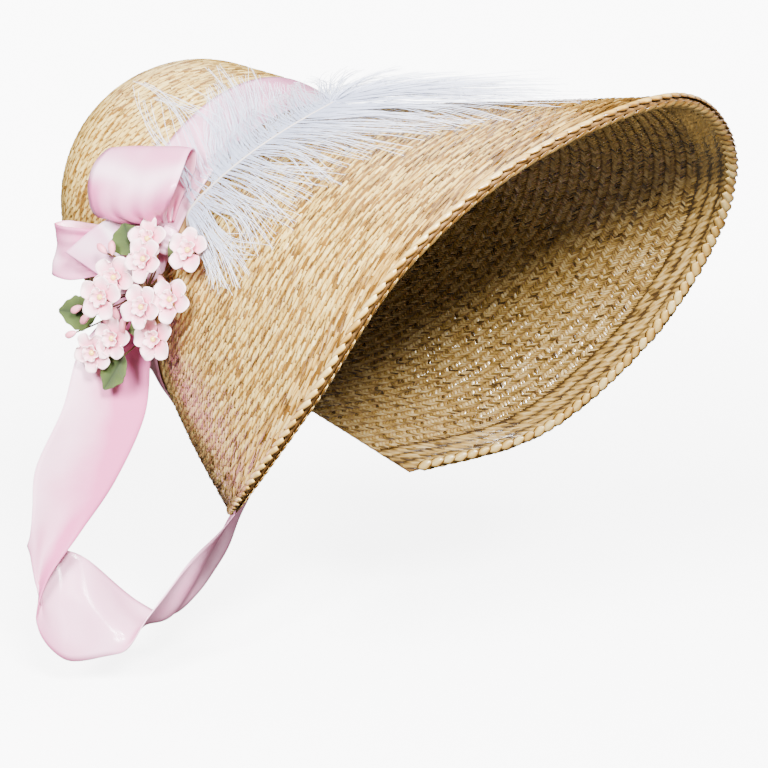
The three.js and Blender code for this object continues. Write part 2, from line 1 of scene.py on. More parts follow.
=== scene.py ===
"""Poke bonnet of sewn straw braid with satin ribbons, a flower spray and a plume.

Metres, in the shared frame: +Z up, the wearer's face towards -Y, the trimming on the wearer's right.
"""

import math
from contextlib import contextmanager

import bmesh
import bpy
import numpy as np
from mathutils import Matrix, Vector


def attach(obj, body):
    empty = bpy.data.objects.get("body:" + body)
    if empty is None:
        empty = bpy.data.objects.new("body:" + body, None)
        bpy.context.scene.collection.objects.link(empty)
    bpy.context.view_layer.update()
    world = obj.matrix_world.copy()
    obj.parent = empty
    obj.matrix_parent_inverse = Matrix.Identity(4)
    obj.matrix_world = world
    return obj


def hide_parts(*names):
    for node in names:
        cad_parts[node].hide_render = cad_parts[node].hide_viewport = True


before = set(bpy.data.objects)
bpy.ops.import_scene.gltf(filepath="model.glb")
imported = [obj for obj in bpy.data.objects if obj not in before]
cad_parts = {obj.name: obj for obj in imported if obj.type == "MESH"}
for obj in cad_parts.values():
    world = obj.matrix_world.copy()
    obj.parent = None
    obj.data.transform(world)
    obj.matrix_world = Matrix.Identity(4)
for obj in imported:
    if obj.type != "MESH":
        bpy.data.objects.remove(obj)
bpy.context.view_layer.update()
rng = np.random.default_rng(7)
MM = 0.001

# Camera: degrees turned into radians, and its place in metres
AZIMUTH = math.radians(-48)
ELEVATION = math.radians(9)
CAMERA_AT = (-0.79905, -0.76872, 0.01581)

# Sizes of the hat, in millimetres, with turns and slants in degrees
RING_HEIGHT = 208
RING_WIDTH = 176
RING_LEAN = math.radians(20)
CROWN_DEPTH = 158
CROWN_RISE = 15.5
BRIM_REACH = 242
BRIM_HALF_WIDTH = 143
BRIM_DROP = 224
BRIM_END = 150
BRIM_BELLY = 7
STRAW_WALL = 2.4
EDGE_BRAID_WIDTH = 8
RIBBON_WIDTH = 40
RIBBON_WALL = 0.7
BAND_LIFT = 1.35
BOW_LIFT = 28
KNOT = (17, 13, 9)
KNOT_PLACE = (0.02, -76.5)
TIE_HALF_SPREAD = 140
TIE_DROP = 318
TIE_FLARE = 30
TIE_SEAT = 2.6
SPRAY_LIFT = 38
BLOSSOM_WIDTH = 19
BLOSSOM_CUP = 4.5
BUD_LENGTH = 8.5
BUD_WIDTH = 4.6
WIRE_WIDTH = 1.1
LEAF_LENGTH = 24
PLUME_LIFT = 28
SHAFT_WIDTH = 2.2
ROW_PITCH = 6.3
BORDER_WIDTH = 21
BACKING_INSET = 0.25
TOOTH_ROW = 2.2
TOOTH_PITCH = 7.6
TOOTH_LENGTH = 12.4
TOOTH_WIDTH = 7
TOOTH_SLANT = 38
TOOTH_END_GAP = 8
BARB_WIDTH = 0.5
HAIR_WIDTH = 0.11

# Share of the crown past which its surface is too close to the pole for a normal
CROWN_LAST = 0.985

# Floor, in metres, and the glow of floor and world as the camera sees them
FLOOR_HEIGHT = -0.34
CAMERA_WHITE = 9.0

# Brim edge: across, forward, up
BRIM_EDGE = np.array([
    (0, 1, 0.033),
    (0.612, 0.909, -0.085),
    (0.944, 0.754, -0.308),
    (1, 0.541, -0.614),
    (0.885, 0.264, -0.888),
    (0.531, 0.01, -1),
])

# Crown sections: depth, wide, high, rise
CROWN_ROWS = np.array([
    (0, 1, 1, 0),
    (0.21, 1, 0.94, 0.6),
    (0.45, 0.98, 0.835, 1),
    (0.66, 0.905, 0.77, 1),
    (0.84, 0.69, 0.59, 1),
    (0.959, 0.375, 0.32, 1),
    (1, 0, 0, 1),
])

# Places on the hat: reach, turn, lift of the front edge, then of the rear edge
UPPER_LOOP = [
    ((0.035, -71, 0.1), (0.1, -77, 0.1)),
    ((0.04, -64, 0.14), (0.2, -79, 0.13)),
    ((0.03, -55, 0.36), (0.31, -73, 0.18)),
    ((0.04, -51, 0.66), (0.285, -65, 0.6)),
    ((-0.035, -53, 0.88), (0.272, -71, 0.88)),
    ((-0.095, -61.5, 0.97), (0.236, -79, 1)),
    ((-0.07, -67, 0.8), (0.2, -83, 0.84)),
    ((-0.01, -70.5, 0.5), (0.085, -75.5, 0.5)),
]
SIDE_LOOP = [
    ((0.07, -82, 0.14), (0.13, -78.5, 0.14)),
    ((0.14, -96, 0.11), (0.2, -86, 0.11)),
    ((0.26, -109, 0.13), (0.31, -93, 0.13)),
    ((0.34, -113, 0.37), (0.39, -97, 0.33)),
    ((0.35, -112, 0.88), (0.4, -98, 0.62)),
    ((0.275, -108.5, 0.8), (0.33, -95, 0.7)),
    ((0.2, -101.5, 0.42), (0.25, -90, 0.46)),
]
FOLD_STRIP = [
    ((0, -85, 0.26), (0.09, -77.5, 0.36)),
    ((0, -88, 0.25), (0.164, -79, 0.54)),
    ((0.08, -93.5, 0.32), (0.219, -87, 0.7)),
    ((0.135, -100, 0.46), (0.266, -98, 1)),
]
TIE_TOP = [
    ((-0.03, 103, 0), (0.17, 107.5, 0)),
    ((-0.05, 108, 0.14), (0.16, 113, 0.45)),
]
# Shares of the tie's spread, the brim's reach and the tie's drop
TIE_ROWS = [
    ((-0.635, 0.2, -0.445), (-0.815, 0.335, -0.43)),
    ((-0.65, 0.215, -0.545), (-0.885, 0.35, -0.53)),
    ((-0.735, 0.265, -0.66), (-0.965, 0.395, -0.635)),
    ((-0.84, 0.325, -0.755), (-0.975, 0.405, -0.71)),
    ((-0.94, 0.38, -0.845), (-0.98, 0.41, -0.755)),
    ((-0.96, 0.405, -0.935), (-0.965, 0.425, -0.785)),
    ((-0.86, 0.385, -1), (-0.87, 0.415, -0.795)),
    ((-0.745, 0.315, -0.995), (-0.765, 0.36, -0.815)),
    ((-0.707, 0.256, -0.975), (-0.543, 0.322, -0.912)),
    ((-0.65, 0.211, -0.915), (-0.421, 0.281, -0.947)),
    ((-0.507, 0.202, -0.858), (-0.286, 0.269, -0.915)),
    ((-0.264, 0.231, -0.799), (-0.064, 0.318, -0.862)),
    ((0.22, 0.31, -0.7), (0.36, 0.43, -0.73)),
    ((0.49, 0.28, -0.58), (0.6, 0.42, -0.59)),
    ((0.635, 0.2, -0.445), (0.72, 0.345, -0.46)),
]

# Flower spray. Blossoms: reach, turn, lift and petal turn. Buds: reach, turn, lift and the tip's place.
# Leaves: the same, then shares of the full width and length.
BLOSSOMS = [
    (-0.076, -81.3, 0.62, 10),
    (0.065, -90.9, 0.7, 40),
    (0.059, -95.5, 0.9, 5),
    (-0.012, -76.8, 0.5, 55),
    (-0.2, -74.8, 0.34, 20),
    (-0.222, -88, 0.38, 0),
    (-0.165, -92.2, 0.64, 30),
    (-0.2, -100.4, 0.4, 64),
    (-0.04, -104.5, 0.76, 15),
    (0.05, -110.5, 0.97, 48),
]
BUDS = [
    (0.09, -86.4, 0.74, (0.115, -83)),
    (0.035, -86.6, 0.64, (0.035, -83.5)),
    (0.125, -88.4, 0.66, (0.165, -88)),
    (-0.14, -79.5, 0.34, (-0.19, -79.5)),
    (0.15, -105, 0.84, (0.18, -109)),
    (0.11, -104, 0.86, (0.13, -109)),
    (0.01, -99.5, 0.72, (0.04, -98)),
    (-0.06, -98, 0.7, (-0.08, -101)),
    (0.03, -101.5, 0.7, (0.06, -103)),
    (0.15, -112.5, 0.94, (0.18, -116)),
    (-0.09, -84.5, 0.38, (-0.13, -86.5)),
]
LEAVES = [
    (0.07, -84.8, 0.45, (0.125, -80), 0.8, 0.74),
    (0.13, -107, 0.66, (0.22, -113), 0.7, 1),
    (-0.07, -109, 0.64, (-0.05, -117), 0.62, 1),
    (-0.1, -99, 0.36, (-0.05, -102.5), 0.45, 0.55),
    (-0.06, -79.5, 0.24, (-0.12, -74), 0.5, 0.6),
]
SPRAY_ROOT = (-0.02, -91, 0.33)
SPRAY_FOOT = -0.05
SPRAY_FACING = np.array((-0.74, -0.65, 0.16))
SHADED_LEAVES = (4, 5)

# Bud: shares of its half width and its length
BUD_OUTLINE = np.array([
    (0.02, 0), (0.55, 0.16), (0.86, 0.36), (1, 0.58), (0.8, 0.82), (0.34, 0.96), (0.02, 1),
])

# Plume. Shaft: reach, turn, lift. Fronds: start along the shaft, then reach, turn and lift of the end.
BARB_FACING = (-0.734, -0.661, 0.156)
SHAFT = np.array([
    (-0.02, -69.5, 0),
    (-0.05, -64.5, 0.23),
    (-0.133, -51, 0.31),
    (-0.2, -36, 0.33),
    (-0.245, -25.3, 0.39),
    (-0.27, -19, 0.47),
])
UPPER_FRONDS = np.array([
    (0.34, 0.14, -37, 0.24),
    (0.42, 0.22, -29, 0.2),
    (0.5, 0.2, -21, 0.22),
    (0.58, 0.14, -15, 0.26),
    (0.67, 0.07, -11, 0.32),
    (0.77, 0.01, -8, 0.42),
    (0.87, -0.07, -7, 0.5),
    (0.97, -0.17, -6, 0.58),
])
LOWER_FRONDS = np.array([
    (0.1, -0.36, -82, 0.16),
    (0.17, -0.44, -77, 0.16),
    (0.24, -0.48, -70, 0.16),
    (0.31, -0.5, -63, 0.17),
    (0.38, -0.52, -56, 0.18),
    (0.45, -0.54, -49, 0.18),
    (0.52, -0.58, -42, 0.2),
    (0.59, -0.63, -35, 0.22),
    (0.66, -0.69, -28.5, 0.24),
    (0.74, -0.76, -22.5, 0.26),
    (0.82, -0.84, -16.5, 0.26),
    (0.91, -0.8, -10, 0.32),
    (1, -0.68, -4, 0.42),
])
WISP_FRONDS = np.array([
    (0.2, 0.2, -52, 0.3),
    (0.3, 0.4, -44, 0.34),
    (0.4, 0.36, -38, 0.3),
    (0.5, 0.3, -24, 0.34),
    (0.7, 0.2, -14, 0.4),
])
CREST_FRONDS = np.array([
    (0.86, -0.2, -4, 0.55),
    (0.9, -0.34, -4.5, 0.5),
    (0.94, -0.48, -5.5, 0.46),
    (0.97, -0.62, -6.5, 0.4),
    (1, -0.76, -8, 0.34),
    (1, -0.9, -11, 0.24),
])

RING_UP = np.array((0, -math.sin(RING_LEAN), math.cos(RING_LEAN)))
RING_BACK = np.array((0, math.cos(RING_LEAN), math.sin(RING_LEAN)))
RING_CENTRE = -RING_UP * RING_HEIGHT / 2


# Surfaces of the hat

def spline(rows, share, before, after):
    """Catmull-Rom through evenly spaced rows; before and after are the rows beyond both ends."""
    share = np.clip(np.asarray(share, float), 0, 1)
    spans = len(rows) - 1
    padded = np.vstack([before, rows, after])
    i = np.minimum((share * spans).astype(int), spans - 1)
    f = (share * spans - i)[..., None]
    p0, p1, p2, p3 = padded[i], padded[i + 1], padded[i + 2], padded[i + 3]
    return 0.5 * (
        2 * p1 + (p2 - p0) * f + (2 * p0 - 5 * p1 + 4 * p2 - p3) * f ** 2
        + (3 * p1 - p0 - 3 * p2 + p3) * f ** 3
    )


def path(points, share):
    """A smooth curve through points whose ends carry their slope on."""
    points = np.asarray(points, float)
    return spline(points, share, 2 * points[0] - points[1], 2 * points[-1] - points[-2])


def crown_point(share, turn):
    """A place on the crown, from the head ring at share 0 to the tip at 1."""
    rows = CROWN_ROWS
    after = rows[-2] * (1, -1, -1, 1)
    depth, wide, high, rise = np.moveaxis(spline(rows, share, 2 * rows[0] - rows[1], after), -1, 0)
    up = rise * CROWN_RISE + np.cos(np.radians(turn)) * high * RING_HEIGHT / 2
    side = np.sin(np.radians(turn)) * wide * RING_WIDTH / 2
    out = RING_CENTRE + depth[..., None] * CROWN_DEPTH * RING_BACK + up[..., None] * RING_UP
    out[..., 0] += side
    return out


def edge_point(turn):
    """A place on the brim's front edge. A turn of 0 is the top, and the wearer's right is negative."""
    turn = np.asarray(turn, float)
    rows = BRIM_EDGE
    after = 2 * rows[-1] - rows[-2]
    edge = spline(rows, np.abs(turn) / BRIM_END, rows[1] * (-1, 1, 1), after)
    edge = edge * (BRIM_HALF_WIDTH, -BRIM_REACH, BRIM_DROP)
    edge[..., 0] *= np.where(turn < 0, -1, 1)
    return edge


def brim_point(share, turn):
    """A place on the brim, from the head ring at share 0 to the front edge at 1."""
    share = np.asarray(share, float)
    turn = np.asarray(turn, float)
    start = crown_point(np.zeros_like(share * turn), turn)
    belly = BRIM_BELLY * np.sin(np.pi * share) * (np.abs(turn) / BRIM_END) ** 4
    return start + (edge_point(turn) - start) * share[..., None] + belly[..., None] * RING_BACK


def unit(v):
    return v / np.maximum(np.linalg.norm(v, axis=-1, keepdims=True), 1e-9)


def normal_at(surface, share, turn):
    share = np.asarray(share, float)
    turn = np.asarray(turn, float)
    along = surface(np.minimum(share + 0.004, 0.999), turn) - surface(np.maximum(share - 0.004, 0), turn)
    around = surface(share, turn + 0.5) - surface(share, turn - 0.5)
    normal = unit(np.cross(along, around))
    return normal if surface is brim_point else -normal


def on_hat(reach, turn, lift):
    """A place on the hat's outside, lift in millimetres. Works on arrays and on single numbers."""
    reach = np.asarray(reach, float)
    turn = np.asarray(turn, float)
    share = np.minimum(np.abs(reach), 0.99)
    lift = np.asarray(lift, float)[..., None]
    ahead = brim_point(share, turn) + normal_at(brim_point, share, turn) * lift
    behind = crown_point(share, turn) + normal_at(crown_point, share, turn) * lift
    return np.where((reach < 0)[..., None], ahead, behind)


# Mesh helpers

@contextmanager
def edited(mesh):
    """A mesh as a bmesh, written back at the end."""
    bm = bmesh.new()
    bm.from_mesh(mesh)
    yield bm
    bm.to_mesh(mesh)
    bm.free()


def bell(value, width):
    """1 where the value is 0, falling to nothing on both sides of it."""
    return np.exp(-(value / width) ** 2)


def grid_mesh(name, columns, rows, place, materials, sheets=1, merge=0, wall=0, uv=None, tint=None):
    """Loose sheets of columns by rows faces each. place(sheet, u, v) gives the points in millimetres."""
    steps = sheets * (rows + 1) - 1
    mesh = bpy.data.meshes.new(name)
    with edited(mesh) as bm:
        bmesh.ops.create_grid(bm, x_segments=columns, y_segments=steps, size=1)
        between = [
            face for face in bm.faces
            if int((face.calc_center_median().y + 1) / 2 * steps) % (rows + 1) == rows
        ]
        bmesh.ops.delete(bm, geom=between, context="FACES")
    flat = np.zeros(len(mesh.vertices) * 3, np.float32)
    mesh.vertices.foreach_get("co", flat)
    flat = flat.reshape(-1, 3).astype(float)
    i = np.rint((flat[:, 0] + 1) / 2 * columns).astype(int)
    j = np.rint((flat[:, 1] + 1) / 2 * steps).astype(int)
    sheet = j // (rows + 1)
    u = (j % (rows + 1)) / rows
    v = i / columns
    points = place(sheet, u, v) * MM
    mesh.vertices.foreach_set("co", points.astype(np.float32).ravel())
    if uv is not None:
        corner = np.zeros(len(mesh.loops), np.int32)
        mesh.loops.foreach_get("vertex_index", corner)
        layer = mesh.uv_layers.new(name="UVMap")
        layer.data.foreach_set("uv", uv(sheet, u, v)[corner].astype(np.float32).ravel())
    if tint is not None:
        shade = mesh.attributes.new("tint", "FLOAT", "POINT")
        shade.data.foreach_set("value", tint(sheet, u, v).astype(np.float32))
    mesh.update()
    if merge or wall:
        with edited(mesh) as bm:
            if merge:
                bmesh.ops.remove_doubles(bm, verts=bm.verts[:], dist=merge * MM)
                bmesh.ops.recalc_face_normals(bm, faces=bm.faces[:])
            if wall:
                bmesh.ops.solidify(bm, geom=bm.faces[:], thickness=wall * MM)
                bmesh.ops.recalc_face_normals(bm, faces=bm.faces[:])
    return make_object(name, mesh, materials)


def make_object(name, mesh, materials):
    obj = bpy.data.objects.new(name, mesh)
    bpy.context.scene.collection.objects.link(obj)
    for material in materials:
        mesh.materials.append(material)
    mesh.shade_smooth()
    return obj


def settle(obj, slot, *nodes):
    """Attaches a piece to the root body and hides the node that it replaces, if any."""
    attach(obj, "root")
    if nodes:
        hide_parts(*nodes)


def joined(name, objects):
    """Several meshes as one, with their materials."""
    bpy.ops.object.select_all(action="DESELECT")
    for obj in objects:
        obj.select_set(True)
    bpy.context.view_layer.objects.active = objects[0]
    bpy.ops.object.join()
    objects[0].name = name
    objects[0].data.name = name
    return objects[0]


def frames_along(points):
    """Two directions across a path, turned as little as possible from one point to the next."""
    along = unit(np.gradient(points, axis=0))
    across = np.zeros_like(points)
    start = np.cross(along[0], (0.3, 0.2, 1))
    for k, direction in enumerate(along):
        start = start - direction * np.dot(start, direction)
        start = start / np.linalg.norm(start)
        across[k] = start
    return across, np.cross(along, across)


def tube(name, points, radius, sides, steps, materials):
    """A round rod along points, closed at both ends. radius: one for each end."""
    line = path(points, np.linspace(0, 1, steps + 1))
    a, b = frames_along(line)
    radii = np.linspace(radius[0], radius[1], steps + 1)

    def place(sheet, u, v):
        k = np.rint(u * steps).astype(int)
        angle = v * 2 * np.pi
        return line[k] + radii[k, None] * (np.cos(angle)[:, None] * a[k] + np.sin(angle)[:, None] * b[k])

    obj = grid_mesh(name, sides, steps, place, materials)
    with edited(obj.data) as bm:
        bmesh.ops.remove_doubles(bm, verts=bm.verts[:], dist=0.01 * MM)
        bmesh.ops.holes_fill(bm, edges=bm.edges[:], sides=0)
        bmesh.ops.recalc_face_normals(bm, faces=bm.faces[:])
    return obj


# Materials

def tone(red, green, blue):
    """A colour of 0 to 255 as it reads on a screen, in linear light."""
    values = [c / 255 for c in (red, green, blue)]
    return tuple(c / 12.92 if c <= 0.04045 else ((c + 0.055) / 1.055) ** 2.4 for c in values) + (1,)


def feed(tree, node, values):
    """Gives each input of a node its value, or a link from the socket that feeds it."""
    for key, value in values.items():
        if isinstance(value, bpy.types.NodeSocket):
            tree.links.new(value, node.inputs[key])
        else:
            node.inputs[key].default_value = value


def add(tree, kind, values=None, **settings):
    node = tree.nodes.new(kind)
    for key, value in settings.items():
        setattr(node, key, value)
    feed(tree, node, values or {})
    return node


def noise(tree, vector, scale, detail, roughness=0.5):
    values = {"Vector": vector, "Scale": scale, "Detail": detail, "Roughness": roughness}
    return add(tree, "ShaderNodeTexNoise", values).outputs["Fac"]


def bumped(tree, distance, depth, height):
    values = {"Distance": distance, "Strength": depth, "Height": height}
    return add(tree, "ShaderNodeBump", values).outputs[0]


def plus(tree, value, share, rest):
    """A share of one mask, added to another."""
    return add(tree, "ShaderNodeMath", {0: value, 1: share, 2: rest}, operation="MULTIPLY_ADD").outputs[0]


def ramp(tree, factor, stops):
    """Colours along a factor. stops: place, red, green, blue."""
    node = add(tree, "ShaderNodeValToRGB", {0: factor})
    band = node.color_ramp
    for element, stop in zip(band.elements, (stops[0], stops[-1])):
        element.position, element.color = stop[0], tone(*stop[1:])
    for place, *colour in stops[1:-1]:
        band.elements.new(place).color = tone(*colour)
    return node.outputs[0]


def mixed(tree, mode, amount, first, second):
    values = {0: amount, 6: first, 7: second}
    return add(tree, "ShaderNodeMix", values, data_type="RGBA", blend_type=mode).outputs[2]


def facing_away(tree, blend):
    return add(tree, "ShaderNodeLayerWeight", {"Blend": blend}).outputs["Facing"]


def own_place(tree):
    return add(tree, "ShaderNodeUVMap", uv_map="UVMap").outputs[0]


def own_tint(tree):
    return add(tree, "ShaderNodeAttribute", attribute_name="tint").outputs["Fac"]


def group(name, inputs, outputs):
    """A shader group that takes a place in millimetres and the numbers given."""
    tree = bpy.data.node_groups.new(name, "ShaderNodeTree")
    tree.interface.new_socket("Vector", in_out="INPUT", socket_type="NodeSocketVector")
    for label, value in inputs.items():
        socket = tree.interface.new_socket(label, in_out="INPUT", socket_type="NodeSocketFloat")
        socket.default_value = value
    for label in outputs:
        tree.interface.new_socket(label, in_out="OUTPUT", socket_type="NodeSocketFloat")
    tree.interface.new_socket("Normal", in_out="OUTPUT", socket_type="NodeSocketVector")
    return tree, tree.nodes.new("NodeGroupInput").outputs, tree.nodes.new("NodeGroupOutput")


def fibre_group():
    """Fine streaks along a straw slip and wider blotches."""
    tree, given, out = group("Straw_Fibre", {"Depth": 0.3}, ["Mask", "Blotch"])
    stretch = add(tree, "ShaderNodeMapping", {"Vector": given["Vector"], "Scale": (2.6, 0.22, 1)})
    streak = noise(tree, stretch.outputs[0], 1.6, 4, 0.6)
    blotch = noise(tree, given["Vector"], 0.16, 3, 0.55)
    normal = bumped(tree, 0.00012, given["Depth"], streak)
    feed(tree, out, {"Mask": streak, "Blotch": blotch, "Normal": normal})
    return tree


def weave_group():
    """Close satin threads and slack of the cloth, along and across the ribbon; the slack mask also
    deepens the satin's pink as painted shade.
    """
    tree, given, out = group("Satin_Weave", {"Depth": 0.2}, ["Mask"])
    values = {"Vector": given["Vector"], "Scale": 1.4, "Distortion": 0.6, "Detail": 1}
    threads = add(tree, "ShaderNodeTexWave", values, bands_direction="X").outputs["Fac"]
    slack_shade = noise(tree, given["Vector"], 0.06, 2)
    normal = bumped(tree, 0.0004, given["Depth"], plus(tree, threads, 0.25, slack_shade))
    feed(tree, out, {"Mask": slack_shade, "Normal": normal})
    return tree


def nap_group():
    """Fine nap of dyed cloth."""
    tree, given, out = group("Cloth_Nap", {"Scale": 2.0, "Depth": 0.4}, ["Mask"])
    nap = noise(tree, given["Vector"], given["Scale"], 5, 0.65)
    feed(tree, out, {"Mask": nap, "Normal": bumped(tree, 0.0002, given["Depth"], nap)})
    return tree


FIBRE = fibre_group()
WEAVE = weave_group()
NAP = nap_group()


def material(name, roughness, **constants):
    made = bpy.data.materials.new(name)
    made.use_nodes = True
    tree = made.node_tree
    shader = tree.nodes["Principled BSDF"]
    shader.inputs["Roughness"].default_value = roughness
    for key, value in constants.items():
        shader.inputs[key.replace("_", " ")].default_value = value
    return made, tree, shader


def straw_material(name, stops, roughness, depth, shade, **constants):
    """Split straw: the tint of each slip with its painted shade, streaks along it, darker blotches, and
    painted shade where it turns away from the view.
    """
    made, tree, shader = material(name, roughness, **constants)
    values = {"Vector": own_place(tree), "Depth": depth}
    fibre = add(tree, "ShaderNodeGroup", values, node_tree=FIBRE).outputs
    blotched = plus(tree, fibre["Blotch"], 0.45, own_tint(tree))
    # Painted shade: the straw is darker where its surface turns away from the view.
    colours = ramp(tree, plus(tree, facing_away(tree, 0.4), 0.24, blotched), stops)
    streaked = mixed(tree, "MULTIPLY", fibre["Mask"], colours, tone(*shade))
    feed(tree, shader, {"Base Color": streaked, "Normal": fibre["Normal"]})
    return made


PALE_STRAW = straw_material(
    "Pale_Straw",
    [(0.12, 250, 243, 208), (0.42, 238, 217, 150), (0.74, 209, 178, 101), (1, 138, 101, 44)],
    0.26, 0.5, (204, 184, 140), Coat_Weight=0.45, Coat_Roughness=0.22,
)
BORDER_STRAW = straw_material(
    "Border_Straw",
    [(0.12, 249, 241, 208), (0.4, 233, 212, 150), (0.7, 200, 164, 88), (1, 112, 78, 28)],
    0.26, 0.4, (206, 184, 140), Coat_Weight=0.45, Coat_Roughness=0.22,
)
# Straw of the inside, browner and darker than the outside's: painted shade under the brim.
GOLDEN_STRAW = straw_material(
    "Golden_Straw",
    [(0.16, 248, 242, 218), (0.36, 218, 198, 142), (0.66, 174, 144, 76), (1, 70, 50, 16)],
    0.24, 0.35, (184, 152, 98), Coat_Weight=0.9, Coat_Roughness=0.12,
)
# Straw wall darker than the slips: painted shade in the gaps between them.
BACKING = straw_material(
    "Backing_Straw", [(0.1, 172, 134, 78), (1, 122, 88, 40)], 0.7, 0.3, (200, 180, 150)
)


def satin_material(name, colour, painted_shade_colour, roughness):
    """Satin with painted shade: deeper pink where it turns away from the view, slackens or is gathered,
    and painted sheen in soft bands along it.
    """
    made, tree, shader = material(
        name, roughness,
        Sheen_Weight=0.08, Sheen_Roughness=0.3, Anisotropic=0.6, Specular_IOR_Level=0.8,
    )
    own = own_place(tree)
    weave = add(tree, "ShaderNodeGroup", {"Vector": own}, node_tree=WEAVE).outputs
    # Painted sheen: soft lighter and darker bands of pink along the ribbon.
    stretched = add(tree, "ShaderNodeMapping", {"Vector": own, "Scale": (0.045, 0.02, 1)})
    sheen_bands = noise(tree, stretched.outputs[0], 1.0, 1.0)
    span = {"Value": sheen_bands, "From Min": 0.36, "From Max": 0.66, "To Min": 0.0, "To Max": 0.26}
    slack_shade = add(tree, "ShaderNodeMapRange", span).outputs[0]
    # Painted shade: deeper pink where the satin turns away from the view.
    shade_and_sheen = plus(tree, facing_away(tree, 0.45), 0.6, slack_shade)
    # Painted shade where the cloth slackens.
    woven = plus(tree, weave["Mask"], 0.3, shade_and_sheen)
    total = add(tree, "ShaderNodeMath", {0: woven, 1: own_tint(tree)}, operation="ADD", use_clamp=True)
    cloth = mixed(tree, "MIX", total.outputs[0], tone(*colour), tone(*painted_shade_colour))
    feed(tree, shader, {"Base Color": cloth, "Normal": weave["Normal"]})
    return made


# One pink satin in three copies: plain, darker for the loops' inner faces as painted shade, and paler for
# the fold's outer face as painted light.
SATIN = satin_material("Pink_Satin", (248, 207, 226), (210, 108, 158), 0.22)
SATIN_SHADED = satin_material("Pink_Satin_Shaded_Inside", (248, 194, 212), (220, 112, 152), 0.26)
SATIN_LIT = satin_material("Pink_Satin_Lit", (248, 222, 236), (216, 132, 176), 0.23)


def dyed_material(name, stops, scale, depth, roughness, **constants):
    """Dyed cloth: a gradient along the tint, mottled by its nap."""
    made, tree, shader = material(name, roughness, **constants)
    values = {"Vector": own_place(tree), "Scale": scale, "Depth": depth}
    nap = add(tree, "ShaderNodeGroup", values, node_tree=NAP).outputs
    colours = ramp(tree, plus(tree, nap["Mask"], 0.3, own_tint(tree)), stops)
    feed(tree, shader, {"Base Color": colours, "Normal": nap["Normal"]})
    return made


PETAL = dyed_material(
    "Petal_Cloth",
    [(0.1, 186, 54, 86), (0.4, 220, 112, 140), (0.75, 240, 168, 186), (1, 250, 214, 220)],
    1.8, 0.5, 0.5, Sheen_Weight=0.3, Sheen_Roughness=0.4,
)
BEAD = dyed_material(
    "Yellow_Bead", [(0.1, 228, 196, 104), (1, 242, 222, 146)],
    0.6, 0.1, 0.3, Coat_Weight=0.4, Coat_Roughness=0.15,
)
BUD = dyed_material(
    "Bud_Cloth", [(0.1, 242, 170, 186), (0.6, 232, 140, 160), (1, 214, 106, 130)],
    1.5, 0.2, 0.45, Sheen_Weight=0.3, Sheen_Roughness=0.4,
)
VELVET_LEAF = dyed_material(
    "Velvet_Leaf", [(0.1, 20, 31, 5), (0.55, 42, 58, 12), (1, 80, 98, 34)],
    2.2, 0.9, 0.85, Sheen_Weight=0.15, Sheen_Roughness=0.5,
)
# A darker copy of the leaf cloth for the shaded leaves, as painted shade.
SHADED_LEAF = dyed_material(
    "Shaded_Leaf", [(0.1, 34, 44, 14), (0.6, 60, 74, 26), (1, 96, 108, 48)],
    2.2, 0.8, 0.8, Sheen_Weight=0.12, Sheen_Roughness=0.5,
)
WIRE = dyed_material("Wrapped_Wire", [(0.1, 86, 60, 28), (1, 150, 112, 56)], 3.0, 0.5, 0.5)
FEATHER = dyed_material(
    "White_Feather", [(0.1, 122, 128, 158), (0.5, 172, 179, 203), (1, 228, 232, 244)],
    0.8, 0.1, 0.75, Sheen_Weight=0.3, Sheen_Roughness=0.5,
)
QUILL = dyed_material("Pale_Quill", [(0.1, 196, 184, 176), (1, 226, 218, 212)], 0.5, 0.1, 0.45)


# Straw braid

def travelled(line):
    """Length along a line of points, from its start to each of them."""
    return np.concatenate([[0], np.cumsum(np.linalg.norm(np.diff(line, axis=0), axis=1))])


def off_wall(point, normal, lift, side):
    """Points lifted off the straw wall: side 1 is the hat's outside, -1 its inside."""
    base = 0 if side > 0 else -STRAW_WALL
    return point + normal * (base + side * lift)[:, None]


class BrimRow:
    """One braid row at a distance from the brim's front edge, as a place for each length along it."""

    turns = np.linspace(-BRIM_END, BRIM_END, 901)
    reach = np.linalg.norm(brim_point(np.ones(901), turns) - brim_point(np.zeros(901), turns), axis=1)

    def __init__(self, distance):
        self.distance = distance
        covered = self.turns[self.reach > distance + 1]
        low, high = (covered[0], covered[-1]) if len(covered) else (0, 0)
        self.steps = np.linspace(low, high, 700)
        share = np.clip(1 - distance / np.interp(self.steps, self.turns, self.reach), 0, 1)
        self.lengths = travelled(brim_point(share, self.steps))
        self.length = self.lengths[-1]

    def place(self, along, across, lift, side):
        turn = np.interp(along, self.lengths, self.steps)
        share = np.clip(1 - (self.distance + across) / np.interp(turn, self.turns, self.reach), 0, 1.02)
        normal = normal_at(brim_point, np.minimum(share, 1), turn)
        return off_wall(brim_point(share, turn), normal, lift, side)


class CrownRow:
    """One braid row round the crown at a length from the head ring, measured along its side."""

    shares = np.linspace(0, 1, 600)
    from_ring = travelled(crown_point(shares, np.full(600, -90.0)))

    def __init__(self, distance):
        self.distance = distance
        self.steps = np.linspace(-180, 180, 500)
        at = np.interp(distance, self.from_ring, self.shares)
        self.lengths = travelled(crown_point(np.full(500, at), self.steps))
        self.length = self.lengths[-1]

    def place(self, along, across, lift, side):
        turn = np.interp(along % max(self.length, 1), self.lengths, self.steps)
        share = np.interp(self.distance - across, self.from_ring, self.shares)
        normal = normal_at(crown_point, np.minimum(share, CROWN_LAST), turn)
        return off_wall(crown_point(share, turn), normal, lift, side)


